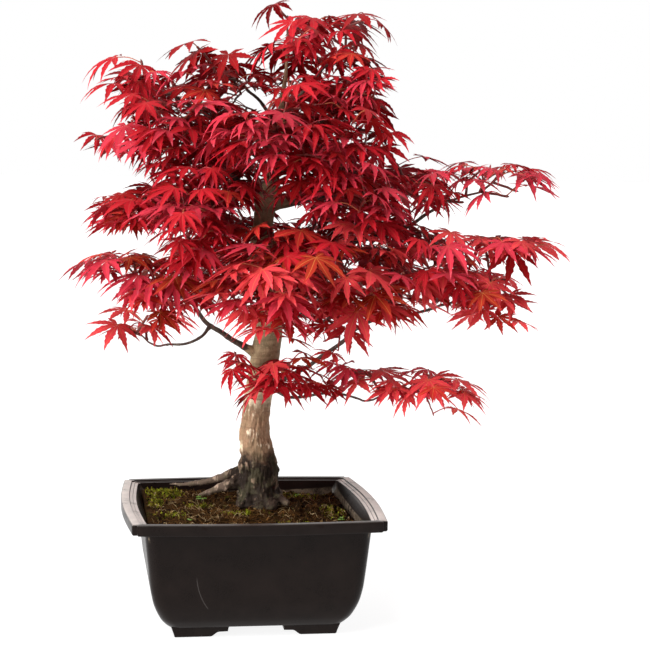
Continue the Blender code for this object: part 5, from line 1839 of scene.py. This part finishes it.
def bentPoint(out, over, angle, bend, fold, twist, free):
    # a spot of a flat lobe, drawn down along the leaf's curve and folded about the lobe's rib
    x = sin(angle) * out + cos(angle) * over
    y = cos(angle) * out - sin(angle) * over
    r = hypot(x, y)
    slope = bend * r
    rise = (abs(over) - 0.02) * fold * min(1, r / 0.2) + over * twist * free
    arc = sin(slope) / bend + rise * sin(slope)
    fall = (1 - cos(slope)) / bend
    return x / max(r, 1e-6) * arc, y / max(r, 1e-6) * arc, rise * cos(slope) - fall


def makeLeafForm(rng, form):
    # points, triangles and what each triangle belongs to: 0 blade, 1 tip, 2 rib
    turns = [-t for t in reversed(form["turns"][1:])] + list(form["turns"])
    lengths = list(reversed(form["lengths"][1:])) + list(form["lengths"])
    bend = rng.uniform(*form["bend"])
    fold = rng.uniform(*form["fold"])
    points, triangles, kinds = [(0, 0, 0)], [], []
    for i, (turn, length) in enumerate(zip(turns, lengths)):
        length *= rng.uniform(0.93, 1.05)
        turn += rng.uniform(-0.04, 0.04)
        low = (turns[i] - turns[i - 1]) / 2 if i else 0.42
        high = (turns[i + 1] - turns[i]) / 2 if i < len(turns) - 1 else 0.42
        rows = lobeRows(length, form["width"], (low, high), leafForms["teeth"] if abs(turn) < 1.8 else 2)
        lobeBend = bend * rng.uniform(0.8, 1.2) * (1 + 0.1 * abs(turn))
        twist = rng.uniform(-0.3, 0.3)
        sickle = rng.uniform(-0.22, 0.22)
        start = len(points)
        for s, left, right, shift in rows + [(length, 0, 0, 0)]:
            rib = leafForms["ribHalf"] * (1 - 0.75 * s / length)
            free = unit((s - 0.25) / 0.35)
            near, far = min(rib, left * 0.5), min(rib, right * 0.5)
            cross = [(-left, shift), (-near, 0), (far, 0), (right, shift)]
            for over, ahead in cross if s < length else [(0, 0)]:
                out = s + ahead
                angle = turn + sickle * max(0, out - 0.3) ** 1.5
                points.append(bentPoint(out, over, angle, bend + (lobeBend - bend) * free, fold, twist, free))
        for level in range(len(rows) - 1):
            a = start + level * 4
            reach = rows[level][0]
            for k in range(3):
                triangles.extend(((a + k, a + k + 1, a + k + 5), (a + k, a + k + 5, a + k + 4)))
                tip = reach > (0.86 if k == 1 else 0.72) * length
                kinds.extend([1 if tip else 2 if k == 1 else 0] * 2)
        a = start + (len(rows) - 1) * 4
        for k in range(3):
            triangles.extend(((a + k, a + k + 1, a + 4), (0, start + k + 1, start + k)))
            kinds.extend((1, 2))
    return np.array(points), np.array(triangles), np.array(kinds)


# plain tints, dealt out by spray: body, lobe tips and ribs
leafTints = {
    "crimson": ((0.43, 0.01, 0.018), (0.49, 0.021, 0.038), (0.43, 0.036, 0.032)),
    "rose": ((0.51, 0.028, 0.05), (0.57, 0.06, 0.088), (0.5, 0.056, 0.056)),
    "coral": ((0.66, 0.046, 0.056), (0.7, 0.074, 0.084), (0.64, 0.11, 0.06)),
    "scarlet": ((0.49, 0.024, 0.021), (0.53, 0.028, 0.03), (0.56, 0.11, 0.038)),
    "brick": ((0.37, 0.028, 0.014), (0.41, 0.024, 0.02), (0.51, 0.145, 0.04)),
    # the last two are darker copies of crimson: painted shade for leaves inside the crown
    "wine_shade": ((0.26, 0.005, 0.007), (0.31, 0.009, 0.014), (0.29, 0.02, 0.015)),
    "deep_shade": ((0.15, 0.003, 0.004), (0.19, 0.005, 0.007), (0.2, 0.014, 0.01)),
}
tintNames = tuple(leafTints)


def leafMaterials():
    return [Finish("leaf %s %s" % (name, part), 0.55, colour, specular=0.06).material
            for name, tints in leafTints.items() for part, colour in zip(("blade", "tip", "rib"), tints)]


# heights and distances from the crown's axis at which the tints change
tintRule = {
    "top": 0.465,
    "dimmest": 0.385,
    # the height where the painted shade on the leaves is strongest
    "low": 0.345,
    "heart": 0.275,
    "foot": 0.222,
    "inner": 0.095,
    "outer": 0.15,
}


def dealTint(rng, leaf):
    # outer and upper sprays crimson, lower and middle ones orange with clear ribs; inner ones and those at
    # the dimmest height get the dark tints, which are painted shade
    spot = leaf["joint"]
    out = hypot(spot.x - tree["crownAxis"][0], (spot.y - tree["crownAxis"][1]) * 1.1)
    aboveFoot = spot.z > tintRule["foot"]
    outer = unit((out - 0.03) / (tintRule["outer"] - 0.03))
    # inner and dimShade deal out the dark tints, which are painted shade
    inner = max(0, 1 - out / tintRule["inner"]) * unit((tintRule["top"] - spot.z) / 0.04)
    inner *= 1 if aboveFoot else 0.3
    low = unit((tintRule["low"] - spot.z) / 0.09) * (1 if aboveFoot else outer)
    dimShade = exp(-((spot.z - tintRule["dimmest"]) / 0.034) ** 2) * (1 - outer * outer)
    heart = exp(-((spot.z - tintRule["heart"]) / 0.035) ** 2) * (1 - outer)
    weights = {
        "crimson": 0.45 + 0.85 * (1 - low),
        "rose": (0.06 + 1.3 * outer) * (1 - 0.55 * low),
        "coral": (0.1 + 1.8 * outer) * low,
        "scarlet": 0.02 + 0.55 * low + 0.8 * heart,
        "brick": 0.35 * low + 1.3 * heart,
        "wine_shade": 0.14 * (1 - low) + 1 * inner + 0.5 * dimShade,
        "deep_shade": 0.55 * inner + 0.25 * dimShade,
    }
    shares = np.array([weights[name] for name in tintNames])
    return int(rng.choice(len(tintNames), p=shares / shares.sum()))


# which foliage masses each piece of leaves covers
leafPieces = {
    "leaves_top": ("crown_top", "crown_right", "upper_right", "crown_left"),
    "leaves_upper_left": ("top_left", "upper_left", "mid_left", "front_left"),
    "leaves_low_left": ("low_left", "bottom_left", "front_low", "low_middle"),
    "leaves_middle": ("front_upper", "middle_right", "right_front", "right_inner"),
    "leaves_right": ("right_outer", "low_right", "low_right_outer", "lower_right"),
    "leaves_back": ("back_low", "back_left", "back_right", "back_top"),
}


def buildLeaves(crown):
    rng = np.random.default_rng(leafForms["seed"])
    forms = {kind: [makeLeafForm(rng, leafForms[kind]) for form in range(leafForms[kind]["count"])]
             for kind in ("open", "hanging")}
    materials = leafMaterials()
    bundles = {name: Bundle() for name in leafPieces}
    home = {mass: name for name, group in leafPieces.items() for mass in group}
    spin = np.array(treeSpin)
    tints = {}
    for leaf in crown.leaves:
        key = leaf["spray"]
        if key not in tints:
            tints[key] = dealTint(rng, leaf)
        tint = tints[key] if rng.random() < 0.8 else dealTint(rng, leaf)
        young = tintNames[tint] in ("crimson", "rose") and rng.random() < 0.55
        shapes = forms["hanging" if young else "open"]
        points, triangles, kinds = shapes[int(rng.integers(len(shapes)))]
        along = leaf["along"]
        side = leaf["face"].cross(along).normalized()
        level = Vector((along.x, along.y, 0)).normalized()
        along = along.lerp(level, leafForms["flatten"] * rng.uniform(0.4, 1.4)).normalized()
        face = along.cross(side).normalized()
        side = face.cross(along) * (1 if rng.random() < 0.5 else -1)
        grip = np.array((side, along, face)) * leaf["size"]
        placed = (points * (rng.uniform(0.9, 1.05), 1, 1)) @ grip + np.array(leaf["joint"])
        bundles[home[massPlans[leaf["mass"]][0]]].add(placed @ spin.T, triangles, kinds + tint * 3)
    for name, group in leafPieces.items():
        piece = bundles[name].build(name, materials, "red_leaf")
        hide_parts(*["foliage_" + mass for mass in group])


def laden(route, holds):
    # how many of a twig's points there are up to the last leaf or side twig that it carries
    for k in range(len(route) - 1, 1, -1):
        if ((holds - np.array(route[k])) ** 2).sum(1).min() < leafForms["holdReach"] ** 2:
            return k + 1
    return 0


def buildTwigs(crown, finishes):
    rng = np.random.default_rng(leafForms["twigSeed"])
    bundle = Bundle()
    holds = np.array([leaf["root"] for leaf in crown.leaves] + [twig["route"][0] for twig in crown.twigs])
    for twig in crown.twigs:
        route, radii = smoothRoute(twig["route"], 5), twig["radii"]
        radii = np.interp(np.linspace(0, len(radii) - 1, len(route)), range(len(radii)), radii)
        kept = laden(route, holds)
        if not kept:
            continue
        route, radii = [treeSpin @ p for p in route[:kept]], radii[:kept]
        for i in range(1, len(route) - 1):
            route[i] = route[i] + Vector(rng.uniform(-0.0003, 0.0003, 3))
        radii = [r * (1 + 0.14 * (i % 5 == 0)) for i, r in enumerate(radii)]
        bundle.tube(route, radii, 6, twig["level"], pointed=True)
    bundle.build("twigs", finishes, "limb_bark")


def buildStalks(crown, finishes):
    rng = np.random.default_rng(leafForms["stalkSeed"])
    bundle = Bundle()
    for leaf in crown.leaves:
        root, joint = leaf["root"], leaf["joint"]
        middle = root.lerp(joint, 0.5) + upward * (joint - root).length * rng.uniform(0.04, 0.14)
        route = [treeSpin @ p for p in smoothRoute([root, middle, joint - leaf["face"] * 0.0003], 3)]
        thick = 0.00042 + 0.00012 * rng.random()
        radii = [thick * 1.35] + [thick] * (len(route) - 2) + [thick * 1.1]
        bundle.tube(route, radii, 4, int(rng.random() < 0.35))
    bundle.build("leaf_stalks", finishes, "red_leaf")


studio = {
    "floorSize": 60,
    "floorTone": (0.2, 0.2, 0.2),
    "floorGlow": 0.89,
    "sky": 0.84,
    "front": 0.05,
    "key": ((-0.42, -0.58, 1.1), 2.4, 26),
    "side": ((-1, -0.5, 0.2), 4.3, 34),
    "fill": ((0.85, -0.6, 0.4), 0.4, 60),
}


def addLight(name, source, strength, spread):
    # a broad even light from one side, the same all over the floor
    data = bpy.data.lights.new(name, "SUN")
    data.energy = strength
    data.angle = radians(spread)
    lamp = addToScene(bpy.data.objects.new(name, data))
    lamp.matrix_world = (-Vector(source)).to_track_quat("-Z", "Y").to_matrix().to_4x4()


def buildStudio():
    half = studio["floorSize"] / 2
    mesh = bpy.data.meshes.new("studio_floor")
    corners = [(-half, -half, 0), (half, -half, 0), (half, half, 0), (-half, half, 0)]
    mesh.from_pydata(corners, [], [(0, 1, 2, 3)])
    floor = addToScene(bpy.data.objects.new("studio_floor", mesh))
    finish = Finish("pale floor", 0.75, studio["floorTone"], specular=0.2)
    tone = finish.mix(finish.grain(3, 40, 0.3)[0], (0.197, 0.197, 0.197), studio["floorTone"])
    finish.tree.links.new(tone, finish.shader.inputs["Base Color"])
    finish.shader.inputs["Emission Color"].default_value = (1, 1, 1, 1)
    finish.shader.inputs["Emission Strength"].default_value = studio["floorGlow"]
    mesh.materials.append(finish.material)
    for name in ("key", "side", "fill"):
        addLight(name, *studio[name])
    buildSky()
    settings = bpy.context.scene.view_settings
    settings.view_transform = "Standard"
    settings.look = "None"


def buildSky():
    # white all round to the camera; for light, paler behind and above, dim in front
    world = bpy.data.worlds.new("studio")
    bpy.context.scene.world = world
    world.use_nodes = True
    nodes, link = world.node_tree.nodes, world.node_tree.links.new
    back = nodes["Background"]
    seen = nodes.new("ShaderNodeBackground")
    seen.inputs["Color"].default_value = (1, 1, 1, 1)
    way = nodes.new("ShaderNodeTexCoord").outputs["Generated"]
    behind = rampNode(world.node_tree, splitNode(world.node_tree, way)["Y"], -0.25, 0.35)
    link(rangeNode(world.node_tree, behind, studio["front"], studio["sky"]), back.inputs["Strength"])
    back.inputs["Color"].default_value = (1, 0.99, 0.98, 1)
    both = nodes.new("ShaderNodeMixShader")
    link(nodes.new("ShaderNodeLightPath").outputs["Is Camera Ray"], both.inputs[0])
    link(back.outputs[0], both.inputs[1])
    link(seen.outputs[0], both.inputs[2])
    link(both.outputs[0], nodes["World Output"].inputs["Surface"])


# bark of the finest growth, from the oldest twigs to the stalks: dark and light tone
twigTints = {
    "old twig": ((0.066, 0.024, 0.018), (0.15, 0.06, 0.046)),
    "young twig": ((0.11, 0.018, 0.014), (0.2, 0.036, 0.026)),
    "tender twig": ((0.19, 0.02, 0.018), (0.3, 0.042, 0.034)),
    "red stalk": ((0.32, 0.016, 0.022), (0.42, 0.034, 0.04)),
    "amber stalk": ((0.38, 0.06, 0.03), (0.46, 0.12, 0.044)),
}


def twigFinish(name):
    dark, light = twigTints[name]
    finish = Finish(name, 0.5, light, specular=0.4)
    tone = finish.grain(150, 900, 0.4)[0]
    return finish.done(finish.mix(tone, dark, light), tone, (0.4, 0.62))


def dressTree():
    limbs = {"trunk": skinOf("trunk")}
    limbs.update((plan[0], skinOf("bough_" + plan[0])) for plan in boughPlans)
    skins = {name: feelerOf(*limb) for name, limb in limbs.items()}
    routes, starts, ends = boughRoutes(skins)
    collars = buildBoughs(limbFinish(), routes, starts)
    buildTrunk(barkFinish(), collars)
    crown = growCrown(limbs, skins, ends, routes)
    buildTwigs(crown, [twigFinish(name) for name in ("old twig", "young twig", "tender twig")])
    buildStalks(crown, [twigFinish(name) for name in ("red stalk", "amber stalk")])
    buildLeaves(crown)


placeCamera()
buildStudio()
buildPot(plasticFinish())
dressSoil()
dressTree()


print("all pieces ready")
